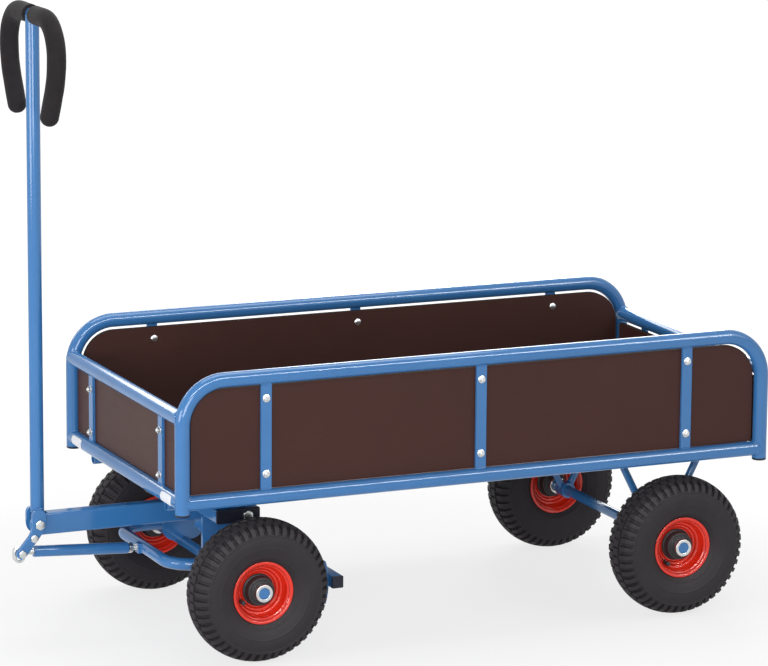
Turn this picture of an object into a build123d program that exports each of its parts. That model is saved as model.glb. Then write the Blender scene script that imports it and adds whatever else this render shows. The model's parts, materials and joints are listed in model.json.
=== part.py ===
from build123d import *
from math import cos, radians, sin, sqrt
import os

# Hand cart with a panelled bed, a swivelling front axle steered by a drawbar, and a drawbar brake.
# Millimetres. +X points forward to the drawbar, +Y to the cart's left, +Z up. While it is drawn, X is
# counted from the middle of the bed; put() then moves every piece so that the origin lies on the floor
# under the middle of the whole cart.

# Bed frame of round steel tube
BED_LENGTH = 1148.0          # between the axes of the front and rear uprights
BED_WIDTH = 567.0            # between the axes of the left and right uprights
TUBE_D = 26.9
TUBE_WALL = 2.0
FOOT_Z = 286.0               # lower end of the uprights
RAIL_Z = 304.0               # axis of the lower rails and lower crossbars
CROSSBAR_Z = 455.0           # axis of the upper crossbars
HOOP_TOP_Z = 520.0           # axis of the hoops' top runs
HOOP_BEND_R = 78.0
CAP_T = 4.0                  # visible thickness of a plastic end cap
CAP_CHAMFER = 1.0
PLUG_LENGTH = 12.0           # how far an end cap's plug goes into its tube
PLUG_GAP = 0.3               # between a plug and its tube
WELD_GAP = 0.05              # clearance left at coped tube ends
CUT = 1.0                    # how far a cutting tool reaches past the face that it opens

# Straps, panels and floor
STRAP_W = 20.0
STRAP_T = 5.0
SIDE_STRAP_X = (-417.0, 0.0, 417.0)
SIDE_BOLT_Z = (345.0, 481.0)
END_STRAP_Y = (-180.0, 180.0)
END_BOLT_Z = (334.0, 415.0)
PANEL_T = 10.0
PANEL_GAP = 3.5              # between a panel's edge and the tube round it
PANEL_BOTTOM_Z = 318.0
END_PANEL_HALF_Y = 265.0
FLOOR_T = 12.0
FLOOR_HALF_X = 556.0
FLOOR_HALF_Y = 266.0
BEARER_Y = 190.0             # the floor bearers' axes, under the lower crossbars
BEARER_HALF_X = 569.0
BEARER_D = 20.0

# Panel bolts
BOLT_D = 6.0
BOLT_HOLE_D = 6.4
BOLT_HEAD_D = 14.0
BOLT_HEAD_H = 3.0
BOLT_TAIL = 2.5              # thread that stands out of the nut
NUT_AF = 10.0
NUT_H = 5.0
FLANGE_D = 14.0              # flange under the hexagon of a panel nut
FLANGE_T = 1.4

# Wheels
WHEEL_R = 130.0
TYRE_W = 85.0
TRACK = 524.0                # between the middles of the left and right tyres
FRONT_AXLE_X = 424.0
REAR_AXLE_X = -413.0
AXLE_D = 20.0
AXLE_END = 35.5              # past the middle of the tyre
AXLE_CHAMFER = 1.0
HUB_D = 51.0
HUB_HALF_W = 20.0
HUB_BORE_D = 20.1
HUB_EDGE_R = 4.0
HUB_GROOVE_R = (17.5, 21.0)  # shallow ring groove in each end of the hub
HUB_GROOVE_DEPTH = 1.0
COLLAR_D = 32.0
COLLAR_W = 14.0
COLLAR_GAP = 0.4
SET_SCREW_D = 6.0
SET_SCREW_PROUD = 1.0        # how far a set screw stands out of its collar

# Tyre section, as radii and as distances from the middle of the wheel
TYRE_WALL_R = 95.0           # where the tyre is widest
SHOULDER_R = 122.0
SHOULDER_Y = 31.5
TREAD_T = 8.0
SIDEWALL_T = 6.0
BEAD_R = 50.0
BEAD_TOE_Y = 14.0            # inner edge of the bead
BEAD_T = 7.0
BEAD_GAP = 0.2               # between tyre and rim

# Tread: a ring groove on each side, and shoulder lugs with a notch between each two
GROOVE_Y = 17.5
GROOVE_W = 3.0
GROOVE_R = 124.0
LUGS = 48
NOTCH_W = 6.4
NOTCH_FLOOR = ((104.0, 41.4), (116.0, 33.0), (123.5, 19.0))     # radius and distance from the middle

# Rim section
RIM_FLANGE_R = 57.0
RIM_HALF_W = 30.0
RIM_SHEET = 2.4
RIM_SEAT_T = 3.0             # sheet under the bead
RIM_DROP = 6.0               # how deep the middle of the rim lies below the bead seat
RIM_DROP_Y = (10.0, 15.0)    # where the drop's wall begins and ends
RIM_DISC_T = 4.0             # disc between rim and hub
RIM_CONE_R = 38.0            # where the disc starts to flare out

# Rear axle carriers
STRUT_D = 14.0
STRUT_Y = 195.0
STRUT_SPREAD = 80.0          # from the axle to a strut's upper end, along X
STRUT_FOOT = (8.0, 6.0)      # a strut's lower end, out from the axle along X and Z
BOSS_D = 30.0
BOSS_W = 30.0

# Turntable, bolster and axle legs
PLATE_Z = (266.0, 272.0)     # turntable plate between the floor bearers
PLATE_HALF_X = 95.0
PLATE_HALF_Y = 184.7
RING_D = 220.0
RING_BORE_D = 70.0
RING_CHAMFER = 1.5
KINGPIN_D = 20.0
KINGPIN_HEX = (30.0, 12.5, 15.0)
TURN_GAP = 0.3               # between faces that turn on each other
SLEEVE_D = 30.0
BOLSTER_W = 84.0
BOLSTER_Z = (230.0, 256.0)
BOLSTER_HALF_Y = 168.0
CAP_BOLT_X = -17.0           # bolt in each end of the bolster, from the axle
CAP_BOLT_D = 10.0
CAP_BOLT_HEX = (17.0, 6.4)   # across flats and head height
SECTION_WALL = 3.0           # wall of the bolster's box section
SECTION_CORNER_R = 4.0
LEG_Y = 100.0
LEG_T = 8.0
LEG_BOTTOM_Z = 135.0
LEG_CORNER_R = 22.0
LEG_REAR_X = (-36.0, -3.0)   # rear edge at the foot and at the bolster, from the axle
LEG_KNEE_Z = 165.0           # where the rear edge starts to lean forward

# Draw beam and drawbar
BEAM_W = 24.5
BEAM_Z = (199.5, 239.5)
BEAM_WALL = 3.0
BEAM_END_X = 762.5           # tip of the beam's rounded cheeks
FORK_X = 727.0               # where the beam's top and bottom walls end and the fork begins
PIVOT_X = 747.0
PIVOT_Z = 221.5
PIVOT_BOLT_D = 10.0
PIVOT_HEX = (16.0, 6.4, 8.0)     # across flats, head height and nut height
DRAWBAR_D = 25.0
DRAWBAR_WALL = 2.5
DRAWBAR_X = 744.0
DRAWBAR_FOOT_Z = 241.5       # just above the beam, which the foot swings round
LEVER_T = 8.0
LEVER_W = 26.0
LEVER_TOP_Z = 256.0
LEVER_TOP_R = 8.0            # round corners beside the drawbar
LEVER_HEEL_Z = 204.0         # where the long plate's rear edge turns forward
LEVER_HEEL_R = 12.0
LEVER_BEND_R = 25.0          # inside of its bend
LEVER_LOBE_R = 9.5           # round end at the rod bolt
ROD_BOLT_X = 780.0           # bolt in the long plate that drives the brake rod
ROD_BOLT_Z = 170.0
ROD_BOLT_D = 8.0
ROD_HEX = (13.0, 5.3, 6.5)
ARM_BOLT_X = 757.5           # bolt in the middle of the long plate
ARM_BOLT_Z = 197.0
RUN_GAP = 0.05               # radial clearance of a shaft that turns in a hole

# Handle
HANDLE_TUBE_D = 22.0
HANDLE_WALL = 2.0
HANDLE_Z = 1138.0            # axis of the handle's top run
HANDLE_TOP_HALF_Y = 64.5
HANDLE_CORNER_R = 63.0
HANDLE_SIDE_R = 132.0
HANDLE_LEAN = 28.0           # degrees by which the arms lean in at their tips
HANDLE_ARM = 48.0            # straight end of an arm
GRIP_D = 34.0
GRIP_BORE_GAP = 0.2
GRIP_TIP = 20.0              # foam beyond the end of the tube
GRIP_GAP = 20.0              # bare tube between the two grips
GRIP_GAP_Y = 6.0

# Brake
BOW_D = 22.0
BOW_WALL = 2.0
BOW_Z = 155.0
BOW_FRONT_X = 540.0
BOW_HALF_Y = 150.0
BOW_BEND_R = 55.0
BOW_REAR_X = 264.0
LUG_W = 18.0
LUG_FRONT = 14.0             # how far the lug stands out in front of the bow's axis
GUIDE_D = 30.0
GUIDE_X = (-34.0, -2.0)      # rear and front end of a guide, from the axle
GUIDE_GAP = 0.3
BAR_SIZE = 22.0
BAR_WALL = 2.0
BAR_HALF_Y = 280.0
SHOE_GAP = 1.0               # between tread and shoe
SHOE_T = 4.0
SHOE_W = 40.0
SHOE_Y = 248.0               # middle of a shoe, a little inside the middle of the tyre
SHOE_HALF_H = 39.0
ROD_D = 20.0
ROD_WALL = 2.0
ROD_FRONT_X = 752.0
ROD_REAR_X = 572.0
STUD_D = 10.0
STUD_NUT_AF = 17.0
STUD_NUT_H = 8.0
STUD_NUT_GAP = 1.0           # between lock nut and rod
STUD_DEPTH = 14.0            # thread inside the rod
EYE_T = 14.0
EYE_NECK = 8.0               # how far the eye reaches back into the rod
EYE_WALL = 5.0
EYE_PLAY = 1.2               # room fore and aft round the rod bolt
EYE_DROP = 9.6               # how far the rod bolt sinks in the eye as the drawbar comes down

HALF_L = BED_LENGTH / 2
HALF_W = BED_WIDTH / 2
TUBE_R = TUBE_D / 2
EYE_W = ROD_BOLT_D + 2 * (EYE_PLAY + EYE_WALL)
FRONT_END = ROD_BOLT_X + EYE_W / 2
REAR_END = -HALF_L - TUBE_R
X_MID = (FRONT_END + REAR_END) / 2
STRAP_OUT_Y = HALF_W + STRAP_T / 2
STRAP_IN_Y = HALF_W - STRAP_T / 2
END_STRAP_OUT_X = HALF_L + STRAP_T / 2
END_STRAP_IN_X = HALF_L - STRAP_T / 2
BEARER_Z = RAIL_Z - TUBE_R - BEARER_D / 2
FLOOR_BOTTOM_Z = RAIL_Z - TUBE_R
FLANK = (Align.CENTER, Align.CENTER, Align.MIN)

os.makedirs("parts", exist_ok=True)


def put(name, *solids):
    """Write one node: a single solid, or a group of separate like solids."""
    shape = solids[0] if len(solids) == 1 else Compound(children=list(solids))
    export_step(Pos(-X_MID, 0, 0) * shape, f"parts/{name}.step")


def bar(start, end, diameter):
    """Round bar between two points."""
    run = Vector(*end) - Vector(*start)
    return Plane(start, z_dir=run) * Cylinder(diameter / 2, run.length, align=FLANK)


def pipe(start, end, diameter, wall):
    """Round tube between two points."""
    return bar(start, end, diameter) - bar(start, end, diameter - 2 * wall)


def block(x, y, z):
    """Box between the low and high values of each axis."""
    size = [high - low for low, high in (x, y, z)]
    centre = [(low + high) / 2 for low, high in (x, y, z)]
    return Pos(*centre) * Box(*size)


def hexagon(start, end, across_flats):
    """Hexagonal prism between two points."""
    run = Vector(*end) - Vector(*start)
    return extrude(Plane(start, z_dir=run) * RegularPolygon(across_flats / sqrt(3), 6), run.length)


def bent_tube(path, diameter, wall):
    """Round tube along a path of straight runs and tangent arcs."""
    ring = Circle(diameter / 2) - Circle(diameter / 2 - wall)
    return sweep(Plane(path @ 0, z_dir=path % 0) * ring, path=path)


def bent_bar(path, diameter):
    """Solid of a tube's outer surface, used to cope what is welded to it."""
    return sweep(Plane(path @ 0, z_dir=path % 0) * Circle(diameter / 2), path=path)


def largest(shape):
    """The main solid that is left when offcuts are dropped."""
    return max(shape.solids(), key=lambda solid: solid.volume)


def flip(shape):
    """The same piece on the other side of the cart."""
    return mirror(shape, about=Plane.XZ)


def hex_bolt(start, end, diameter, across_flats, head, nut):
    """Hexagon bolt whose head lies before start and whose nut lies beyond end: two solids."""
    along = (Vector(*end) - Vector(*start)).normalized()
    tail = Vector(*end) + along * (nut + diameter / 3)
    bolt = bar(start, tail, diameter) + hexagon(start, Vector(*start) - along * head, across_flats)
    fastener = hexagon(end, Vector(*end) + along * nut, across_flats)
    return [bolt, fastener - bar(start, tail, diameter + 2 * RUN_GAP)]


def square_tube(y_half, x, z, wall, corner_r):
    """Box-section tube along Y with rounded edges."""
    width, height = x[1] - x[0], z[1] - z[0]
    outer = RectangleRounded(width, height, corner_r)
    inner = RectangleRounded(width - 2 * wall, height - 2 * wall, corner_r - wall / 2)
    middle = Pos((x[0] + x[1]) / 2, y_half, (z[0] + z[1]) / 2)
    return extrude(middle * Rot(90, 0, 0) * (outer - inner), 2 * y_half)


def square_plug(y_end, x, z, wall, corner_r):
    """Plastic cap with a plug for the end of a box section."""
    width, height = x[1] - x[0], z[1] - z[0]
    inset = 2 * (wall + PLUG_GAP)
    middle = Pos((x[0] + x[1]) / 2, y_end, (z[0] + z[1]) / 2)
    face = extrude(middle * Rot(-90, 0, 0) * RectangleRounded(width, height, corner_r), CAP_T)
    face = chamfer(face.faces().sort_by(Axis.Y)[-1].edges(), CAP_CHAMFER)
    section = RectangleRounded(width - inset, height - inset, corner_r)
    plug = extrude(middle * Rot(90, 0, 0) * section, PLUG_LENGTH)
    return face + plug


def bed_frame():
    """Two hoops of bent tube, joined by rails along the sides and crossbars over the ends."""
    path = FilletPolyline(
        (-HALF_L, HALF_W, FOOT_Z),
        (-HALF_L, HALF_W, HOOP_TOP_Z),
        (HALF_L, HALF_W, HOOP_TOP_Z),
        (HALF_L, HALF_W, FOOT_Z),
        radius=HOOP_BEND_R,
    )
    hoop = bent_tube(path, TUBE_D, TUBE_WALL)
    envelope = bent_bar(path, TUBE_D + 2 * WELD_GAP)
    rail_line = ((-HALF_L, HALF_W, RAIL_Z), (HALF_L, HALF_W, RAIL_Z))
    rail = largest(pipe(*rail_line, TUBE_D, TUBE_WALL) - envelope)
    rail_envelope = bar(*rail_line, TUBE_D + 2 * WELD_GAP)
    put("left_hoop", hoop)
    put("right_hoop", flip(hoop))
    put("left_lower_rail", rail)
    put("right_lower_rail", flip(rail))
    for name, x in (("front", HALF_L), ("rear", -HALF_L)):
        lower = pipe((x, -HALF_W, RAIL_Z), (x, HALF_W, RAIL_Z), TUBE_D, TUBE_WALL)
        upper = pipe((x, -HALF_W, CROSSBAR_Z), (x, HALF_W, CROSSBAR_Z), TUBE_D, TUBE_WALL)
        for cutter in (envelope, flip(envelope)):
            lower = lower - cutter
            upper = upper - cutter
        lower = lower - rail_envelope - flip(rail_envelope)
        put(f"{name}_lower_crossbar", largest(lower))
        put(f"{name}_upper_crossbar", largest(upper))
    bore = TUBE_D - 2 * (TUBE_WALL + PLUG_GAP)
    caps = []
    for x in (HALF_L, -HALF_L):
        for y in (HALF_W, -HALF_W):
            cap = bar((x, y, FOOT_Z), (x, y, FOOT_Z - CAP_T), TUBE_D)
            cap = chamfer(cap.faces().sort_by(Axis.Z)[0].edges(), CAP_CHAMFER)
            caps.append(cap + bar((x, y, FOOT_Z), (x, y, FOOT_Z + PLUG_LENGTH), bore))
    put("hoop_end_caps", *caps)


def side_bolt_places():
    """Ends of the bolt axes through the left side, from the inside out."""
    return [(x, z) for x in SIDE_STRAP_X for z in SIDE_BOLT_Z]


def end_bolt_places():
    """Places of the bolt axes through the front end."""
    return [(y, z) for y in END_STRAP_Y for z in END_BOLT_Z]


def straps():
    """Flat bars that stiffen the sides and ends and carry the panels."""
    crown = RAIL_Z + TUBE_R
    side = []
    for x in SIDE_STRAP_X:
        strap = block(
            (x - STRAP_W / 2, x + STRAP_W / 2), (STRAP_IN_Y, STRAP_OUT_Y), (crown, HOOP_TOP_Z - TUBE_R)
        )
        for z in SIDE_BOLT_Z:
            strap = strap - bar((x, STRAP_IN_Y - CUT, z), (x, STRAP_OUT_Y + CUT, z), BOLT_HOLE_D)
        side += [strap, flip(strap)]
    end = []
    end_x = (END_STRAP_IN_X, END_STRAP_OUT_X)
    for y in END_STRAP_Y:
        strap = block(end_x, (y - STRAP_W / 2, y + STRAP_W / 2), (crown, CROSSBAR_Z - TUBE_R))
        for z in END_BOLT_Z:
            strap = strap - bar((END_STRAP_IN_X - CUT, y, z), (END_STRAP_OUT_X + CUT, y, z), BOLT_HOLE_D)
        end += [strap, mirror(strap, about=Plane.YZ)]
    put("side_straps", *side)
    put("end_straps", *end)


def panels():
    """Plywood panels inside the straps, and the floor board on its bearers."""
    corner_r = HOOP_BEND_R - TUBE_R - PANEL_GAP
    half_x = HALF_L - TUBE_R - PANEL_GAP
    top_z = HOOP_TOP_Z - TUBE_R - PANEL_GAP
    outline = Pos(0, (PANEL_BOTTOM_Z + top_z) / 2) * Rectangle(2 * half_x, top_z - PANEL_BOTTOM_Z)
    outline = fillet(outline.vertices().group_by(Axis.Y)[-1], corner_r)
    side = extrude(Plane.XZ.offset(-STRAP_IN_Y) * outline, PANEL_T)
    for x, z in side_bolt_places():
        side = side - bar((x, STRAP_IN_Y + CUT, z), (x, STRAP_IN_Y - PANEL_T - CUT, z), BOLT_HOLE_D)
    put("left_side_panel", side)
    put("right_side_panel", flip(side))

    end_top = CROSSBAR_Z - TUBE_R - PANEL_GAP
    end = block(
        (END_STRAP_IN_X - PANEL_T, END_STRAP_IN_X),
        (-END_PANEL_HALF_Y, END_PANEL_HALF_Y),
        (PANEL_BOTTOM_Z, end_top),
    )
    for y, z in end_bolt_places():
        end = end - bar((END_STRAP_IN_X + CUT, y, z), (END_STRAP_IN_X - PANEL_T - CUT, y, z), BOLT_HOLE_D)
    put("front_panel", end)
    put("rear_panel", mirror(end, about=Plane.YZ))

    floor_z = (FLOOR_BOTTOM_Z, FLOOR_BOTTOM_Z + FLOOR_T)
    put("floor_board", block((-FLOOR_HALF_X, FLOOR_HALF_X), (-FLOOR_HALF_Y, FLOOR_HALF_Y), floor_z))
    bearer_ends = [(x, BEARER_Y, BEARER_Z) for x in (-BEARER_HALF_X, BEARER_HALF_X)]
    bearer = pipe(*bearer_ends, BEARER_D, TUBE_WALL)
    put("floor_bearers", bearer, flip(bearer))


def panel_bolt():
    """Carriage bolt along +Z: domed head below the origin, shank above. Its flange nut sits on the strap."""
    grip = PANEL_T + STRAP_T
    dome_r = (BOLT_HEAD_D**2 / 4 + BOLT_HEAD_H**2) / (2 * BOLT_HEAD_H)
    dome = Pos(0, 0, dome_r - BOLT_HEAD_H) * Sphere(dome_r)
    head = dome & Pos(0, 0, -BOLT_HEAD_H / 2) * Box(BOLT_HEAD_D, BOLT_HEAD_D, BOLT_HEAD_H)
    bolt = head + Cylinder(BOLT_D / 2, grip + NUT_H + BOLT_TAIL, align=FLANK)
    nut = extrude(RegularPolygon(NUT_AF / sqrt(3), 6), NUT_H) + Cylinder(FLANGE_D / 2, FLANGE_T, align=FLANK)
    nut = Pos(0, 0, grip) * nut
    nut = nut - Cylinder(BOLT_D / 2 + RUN_GAP, grip + NUT_H, align=FLANK)
    return bolt, nut


def panel_bolts():
    """Every panel bolt with its nut: heads inside the bed, nuts outside on the straps."""
    bolt, nut = panel_bolt()
    places = []
    for x, z in side_bolt_places():
        places.append(Plane((x, STRAP_IN_Y - PANEL_T, z), x_dir=(1, 0, 0), z_dir=(0, 1, 0)))
        places.append(Plane((x, PANEL_T - STRAP_IN_Y, z), x_dir=(1, 0, 0), z_dir=(0, -1, 0)))
    for y, z in end_bolt_places():
        places.append(Plane((END_STRAP_IN_X - PANEL_T, y, z), x_dir=(0, 1, 0), z_dir=(1, 0, 0)))
        places.append(Plane((PANEL_T - END_STRAP_IN_X, y, z), x_dir=(0, 1, 0), z_dir=(-1, 0, 0)))
    put("panel_bolts", *[place * bolt for place in places])
    put("panel_nuts", *[place * nut for place in places])


def tyre():
    """Hollow pneumatic tyre about the Y axis, open at the beads where it sits on the rim."""
    side = TYRE_W / 2
    bead = BEAD_R + BEAD_GAP
    heel = RIM_HALF_W - RIM_SHEET - BEAD_GAP
    toe = (bead, BEAD_TOE_Y)
    flange = (RIM_FLANGE_R + BEAD_GAP, heel)
    root = (bead + BEAD_T, heel - BEAD_T)
    widest, widest_inside = (TYRE_WALL_R, side), (TYRE_WALL_R, side - SIDEWALL_T)
    shoulder = (SHOULDER_R, SHOULDER_Y)
    shoulder_inside = (SHOULDER_R - TREAD_T, SHOULDER_Y - SIDEWALL_T)
    half = [
        Polyline(toe, (bead, heel), flange),
        TangentArc(widest, flange, tangent=(-1, 0)),
        TangentArc(widest, shoulder, tangent=(1, 0)),
        Line(toe, root),
        TangentArc(widest_inside, root, tangent=(-1, 0)),
        TangentArc(widest_inside, shoulder_inside, tangent=(1, 0)),
    ]
    edges = half + [mirror(edge, about=Plane.XZ) for edge in half]
    for (radius, y), crown in ((shoulder, WHEEL_R), (shoulder_inside, WHEEL_R - TREAD_T)):
        edges.append(ThreePointArc((radius, y), (crown, 0), (radius, -y)))
    casing = revolve(make_face(edges), axis=Axis.Y)
    groove = Rot(90, 0, 0) * (Cylinder(WHEEL_R + CUT, GROOVE_W) - Cylinder(GROOVE_R, GROOVE_W))
    return casing - Pos(0, GROOVE_Y, 0) * groove - Pos(0, -GROOVE_Y, 0) * groove - tread_notches()


def tread_notches():
    """Cutters that leave the lugs: a radial slot between each two, half a lug apart on the two shoulders."""
    past_r, past_y = WHEEL_R + TREAD_T, TYRE_W / 2 + TREAD_T
    (low_r, _), _, (_, inner_y) = NOTCH_FLOOR
    outline = Polyline(*NOTCH_FLOOR, (past_r, inner_y), (past_r, past_y), (low_r, past_y), close=True)
    notch = extrude(make_face(outline), NOTCH_W / 2, both=True)
    other = mirror(notch, about=Plane.XZ)
    step = 360 / LUGS
    return [Rot(0, step * k, 0) * notch for k in range(LUGS)] + [
        Rot(0, step * (k + 0.5), 0) * other for k in range(LUGS)
    ]


def rim():
    """Drop-centre rim of pressed sheet about the Y axis, with a disc that carries the hub."""
    lip, seat, drop = RIM_HALF_W, BEAD_R - RIM_SEAT_T, BEAD_R - RIM_DROP
    hub_r = HUB_D / 2 + WELD_GAP
    outer = [
        (RIM_FLANGE_R, lip),
        (RIM_FLANGE_R, lip - RIM_SHEET),
        (BEAD_R, lip - RIM_SHEET),
        (BEAD_R, BEAD_TOE_Y),
        (drop, RIM_DROP_Y[0]),
        (drop, 0),
    ]
    inner = [
        (hub_r, 0),
        (hub_r, RIM_DISC_T / 2),
        (RIM_CONE_R, RIM_DISC_T / 2),
        (drop - RIM_SHEET, RIM_DROP_Y[0] - RIM_SHEET),
        (seat, RIM_DROP_Y[1]),
        (seat, lip - 2 * RIM_SHEET),
        (BEAD_R + RIM_SHEET, lip),
    ]
    half = make_face(Polyline(outer + inner, close=True))
    return revolve(half + mirror(half, about=Plane.XZ), axis=Axis.Y)


def hub():
    """Moulded hub sleeve about the Y axis, with a shallow ring groove in each end."""
    sleeve = Rot(90, 0, 0) * Cylinder(HUB_D / 2, 2 * HUB_HALF_W)
    sleeve = fillet(sleeve.edges(), HUB_EDGE_R)
    sleeve = sleeve - Rot(90, 0, 0) * Cylinder(HUB_BORE_D / 2, 2 * HUB_HALF_W)
    inner_r, outer_r = HUB_GROOVE_R
    groove = Cylinder(outer_r, 2 * HUB_GROOVE_DEPTH) - Cylinder(inner_r, 2 * HUB_GROOVE_DEPTH)
    for end in (HUB_HALF_W, -HUB_HALF_W):
        sleeve = sleeve - Pos(0, end, 0) * Rot(90, 0, 0) * groove
    return sleeve


def wheels():
    """Four wheels, and on each axle the set collars, with their screws, that hold the hubs on both sides."""
    turning = {"tyre": tyre(), "rim": rim(), "hub": hub()}
    axle_r = AXLE_D / 2 + WELD_GAP
    screw = bar((0, 0, -axle_r), (0, 0, -COLLAR_D / 2 - SET_SCREW_PROUD), SET_SCREW_D)
    collar = Rot(90, 0, 0) * (Cylinder(COLLAR_D / 2, COLLAR_W) - Cylinder(axle_r, COLLAR_W))
    collar = collar - bar((0, 0, 0), (0, 0, -COLLAR_D), SET_SCREW_D + 2 * WELD_GAP)
    offset = HUB_HALF_W + COLLAR_GAP + COLLAR_W / 2
    for end, x in (("front", FRONT_AXLE_X), ("rear", REAR_AXLE_X)):
        collars = []
        for hand, y in (("left", TRACK / 2), ("right", -TRACK / 2)):
            for piece, shape in turning.items():
                put(f"{end}_{hand}_{piece}", Pos(x, y, WHEEL_R) * shape)
            for place in (Pos(x, y + offset, WHEEL_R), Pos(x, y - offset, WHEEL_R)):
                collars += [place * collar, place * screw]
        put(f"{end}_axle_collars", *collars)
        tip = TRACK / 2 + AXLE_END
        axle = bar((x, -tip, WHEEL_R), (x, tip, WHEEL_R), AXLE_D)
        put(f"{end}_axle", chamfer(axle.edges(), AXLE_CHAMFER))


def rear_axle_carriers():
    """A boss on the axle each side, held by a V of round struts under the floor bearer."""
    top = BEARER_Z - BEARER_D / 4
    boss_ends = [(REAR_AXLE_X, y, WHEEL_R) for y in (STRUT_Y - BOSS_W / 2, STRUT_Y + BOSS_W / 2)]
    boss = pipe(*boss_ends, BOSS_D, (BOSS_D - AXLE_D) / 2 - WELD_GAP)
    boss_envelope = bar(*boss_ends, BOSS_D + 2 * WELD_GAP)
    bearer_ends = [(x, BEARER_Y, BEARER_Z) for x in (-BEARER_HALF_X, 0)]
    bearer_envelope = bar(*bearer_ends, BEARER_D + 2 * WELD_GAP)
    struts = []
    for lean in (1, -1):
        foot = (REAR_AXLE_X + lean * STRUT_FOOT[0], STRUT_Y, WHEEL_R + STRUT_FOOT[1])
        strut = bar(foot, (REAR_AXLE_X + lean * STRUT_SPREAD, STRUT_Y, top), STRUT_D)
        strut = largest(strut - boss_envelope - bearer_envelope)
        struts += [strut, flip(strut)]
    put("rear_axle_bosses", boss, flip(boss))
    put("rear_axle_struts", *struts)


def turntable():
    """Plate under the bed, kingpin through it, and the slide ring that the bed turns on."""
    x, bottom, top = FRONT_AXLE_X, PLATE_Z[0], PLATE_Z[1]
    plate = block((x - PLATE_HALF_X, x + PLATE_HALF_X), (-PLATE_HALF_Y, PLATE_HALF_Y), PLATE_Z)
    plate = plate - bar((x, 0, bottom - CUT), (x, 0, top + CUT), KINGPIN_D + 2 * RUN_GAP)
    put("turntable_plate", plate)

    ring_bottom = BOLSTER_Z[1]
    ring = pipe((x, 0, ring_bottom), (x, 0, bottom - TURN_GAP), RING_D, (RING_D - RING_BORE_D) / 2)
    rims = ring.edges().filter_by(GeomType.CIRCLE).sort_by(SortBy.RADIUS)[-2:]
    put("slide_ring", chamfer(rims, RING_CHAMFER))

    put("kingpin", *hex_bolt((x, 0, top), (x, 0, BEAM_Z[0] - TURN_GAP), KINGPIN_D, *KINGPIN_HEX))
    sleeve_wall = (SLEEVE_D - KINGPIN_D) / 2 - RUN_GAP
    put("kingpin_sleeve", pipe((x, 0, BEAM_Z[0]), (x, 0, BOLSTER_Z[1]), SLEEVE_D, sleeve_wall))


def bolster_and_legs():
    """Box-section bolster across the bogie, and the two plates that hold the front axle."""
    span = (FRONT_AXLE_X - BOLSTER_W / 2, FRONT_AXLE_X + BOLSTER_W / 2)
    sleeve_hole = bar((FRONT_AXLE_X, 0, 0), (FRONT_AXLE_X, 0, RAIL_Z), SLEEVE_D + 2 * WELD_GAP)
    bolster = square_tube(BOLSTER_HALF_Y, span, BOLSTER_Z, SECTION_WALL, SECTION_CORNER_R)
    put("bolster", bolster - sleeve_hole)
    cap = square_plug(BOLSTER_HALF_Y, span, BOLSTER_Z, SECTION_WALL, SECTION_CORNER_R)
    bolt_x, bolt_z = FRONT_AXLE_X + CAP_BOLT_X, sum(BOLSTER_Z) / 2
    face = (bolt_x, BOLSTER_HALF_Y + CAP_T, bolt_z)
    tip = (bolt_x, BOLSTER_HALF_Y - PLUG_LENGTH, bolt_z)
    head = (bolt_x, face[1] + CAP_BOLT_HEX[1], bolt_z)
    cap = cap - bar(face, tip, CAP_BOLT_D + 2 * RUN_GAP)
    bolt = bar(face, tip, CAP_BOLT_D) + hexagon(face, head, CAP_BOLT_HEX[0])
    put("bolster_end_caps", cap, flip(cap))
    put("bolster_bolts", bolt, flip(bolt))

    foot_x, top_x = [FRONT_AXLE_X + x for x in LEG_REAR_X]
    outline = make_face(
        Polyline(
            (top_x, BOLSTER_Z[0]),
            (span[1], BOLSTER_Z[0]),
            (span[1], LEG_BOTTOM_Z),
            (foot_x, LEG_BOTTOM_Z),
            (foot_x, LEG_KNEE_Z),
            close=True,
        )
    )
    outline = fillet(outline.vertices().group_by(Axis.Y)[0], LEG_CORNER_R)
    outline = outline - Pos(FRONT_AXLE_X, WHEEL_R) * Circle(AXLE_D / 2 + WELD_GAP)
    leg = extrude(Plane.XZ.offset(-LEG_Y - LEG_T / 2) * outline, LEG_T)
    put("axle_legs", leg, flip(leg))


def draw_beam():
    """Box beam from the kingpin's sleeve to a fork, whose rounded cheeks hold the drawbar's pivot."""
    low, high = BEAM_Z
    bolster_front = FRONT_AXLE_X + BOLSTER_W / 2
    round_r = (high - low) / 2
    round_x = BEAM_END_X - round_r
    length, middle_z = round_x - FRONT_AXLE_X, (low + high) / 2
    outline = Pos(FRONT_AXLE_X + length / 2, middle_z) * Rectangle(length, high - low)
    outline = outline + Pos(round_x, middle_z) * Circle(round_r)
    beam = extrude(Plane.XZ.offset(-BEAM_W / 2) * outline, BEAM_W)
    long_edges = beam.edges().filter_by(Axis.X)
    beam = fillet(long_edges, SECTION_CORNER_R)
    inner_half = BEAM_W / 2 - BEAM_WALL
    inner_y = (-inner_half, inner_half)
    fork_tip = BEAM_END_X + CUT
    beam = beam - block((FRONT_AXLE_X - CUT, fork_tip), inner_y, (low + BEAM_WALL, high - BEAM_WALL))
    beam = beam - block((FORK_X, fork_tip), inner_y, (low - CUT, high + CUT))
    under_bolster = (FRONT_AXLE_X - CUT, bolster_front + WELD_GAP)
    beam = beam - block(under_bolster, (-BEAM_W, BEAM_W), (BOLSTER_Z[0], high + CUT))
    beam = beam - bar((FRONT_AXLE_X, 0, 0), (FRONT_AXLE_X, 0, RAIL_Z), SLEEVE_D + 2 * WELD_GAP)
    pivot_line = [(PIVOT_X, y, PIVOT_Z) for y in (-BEAM_W, BEAM_W)]
    put("draw_beam", largest(beam - bar(*pivot_line, PIVOT_BOLT_D + 2 * RUN_GAP)))


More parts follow.
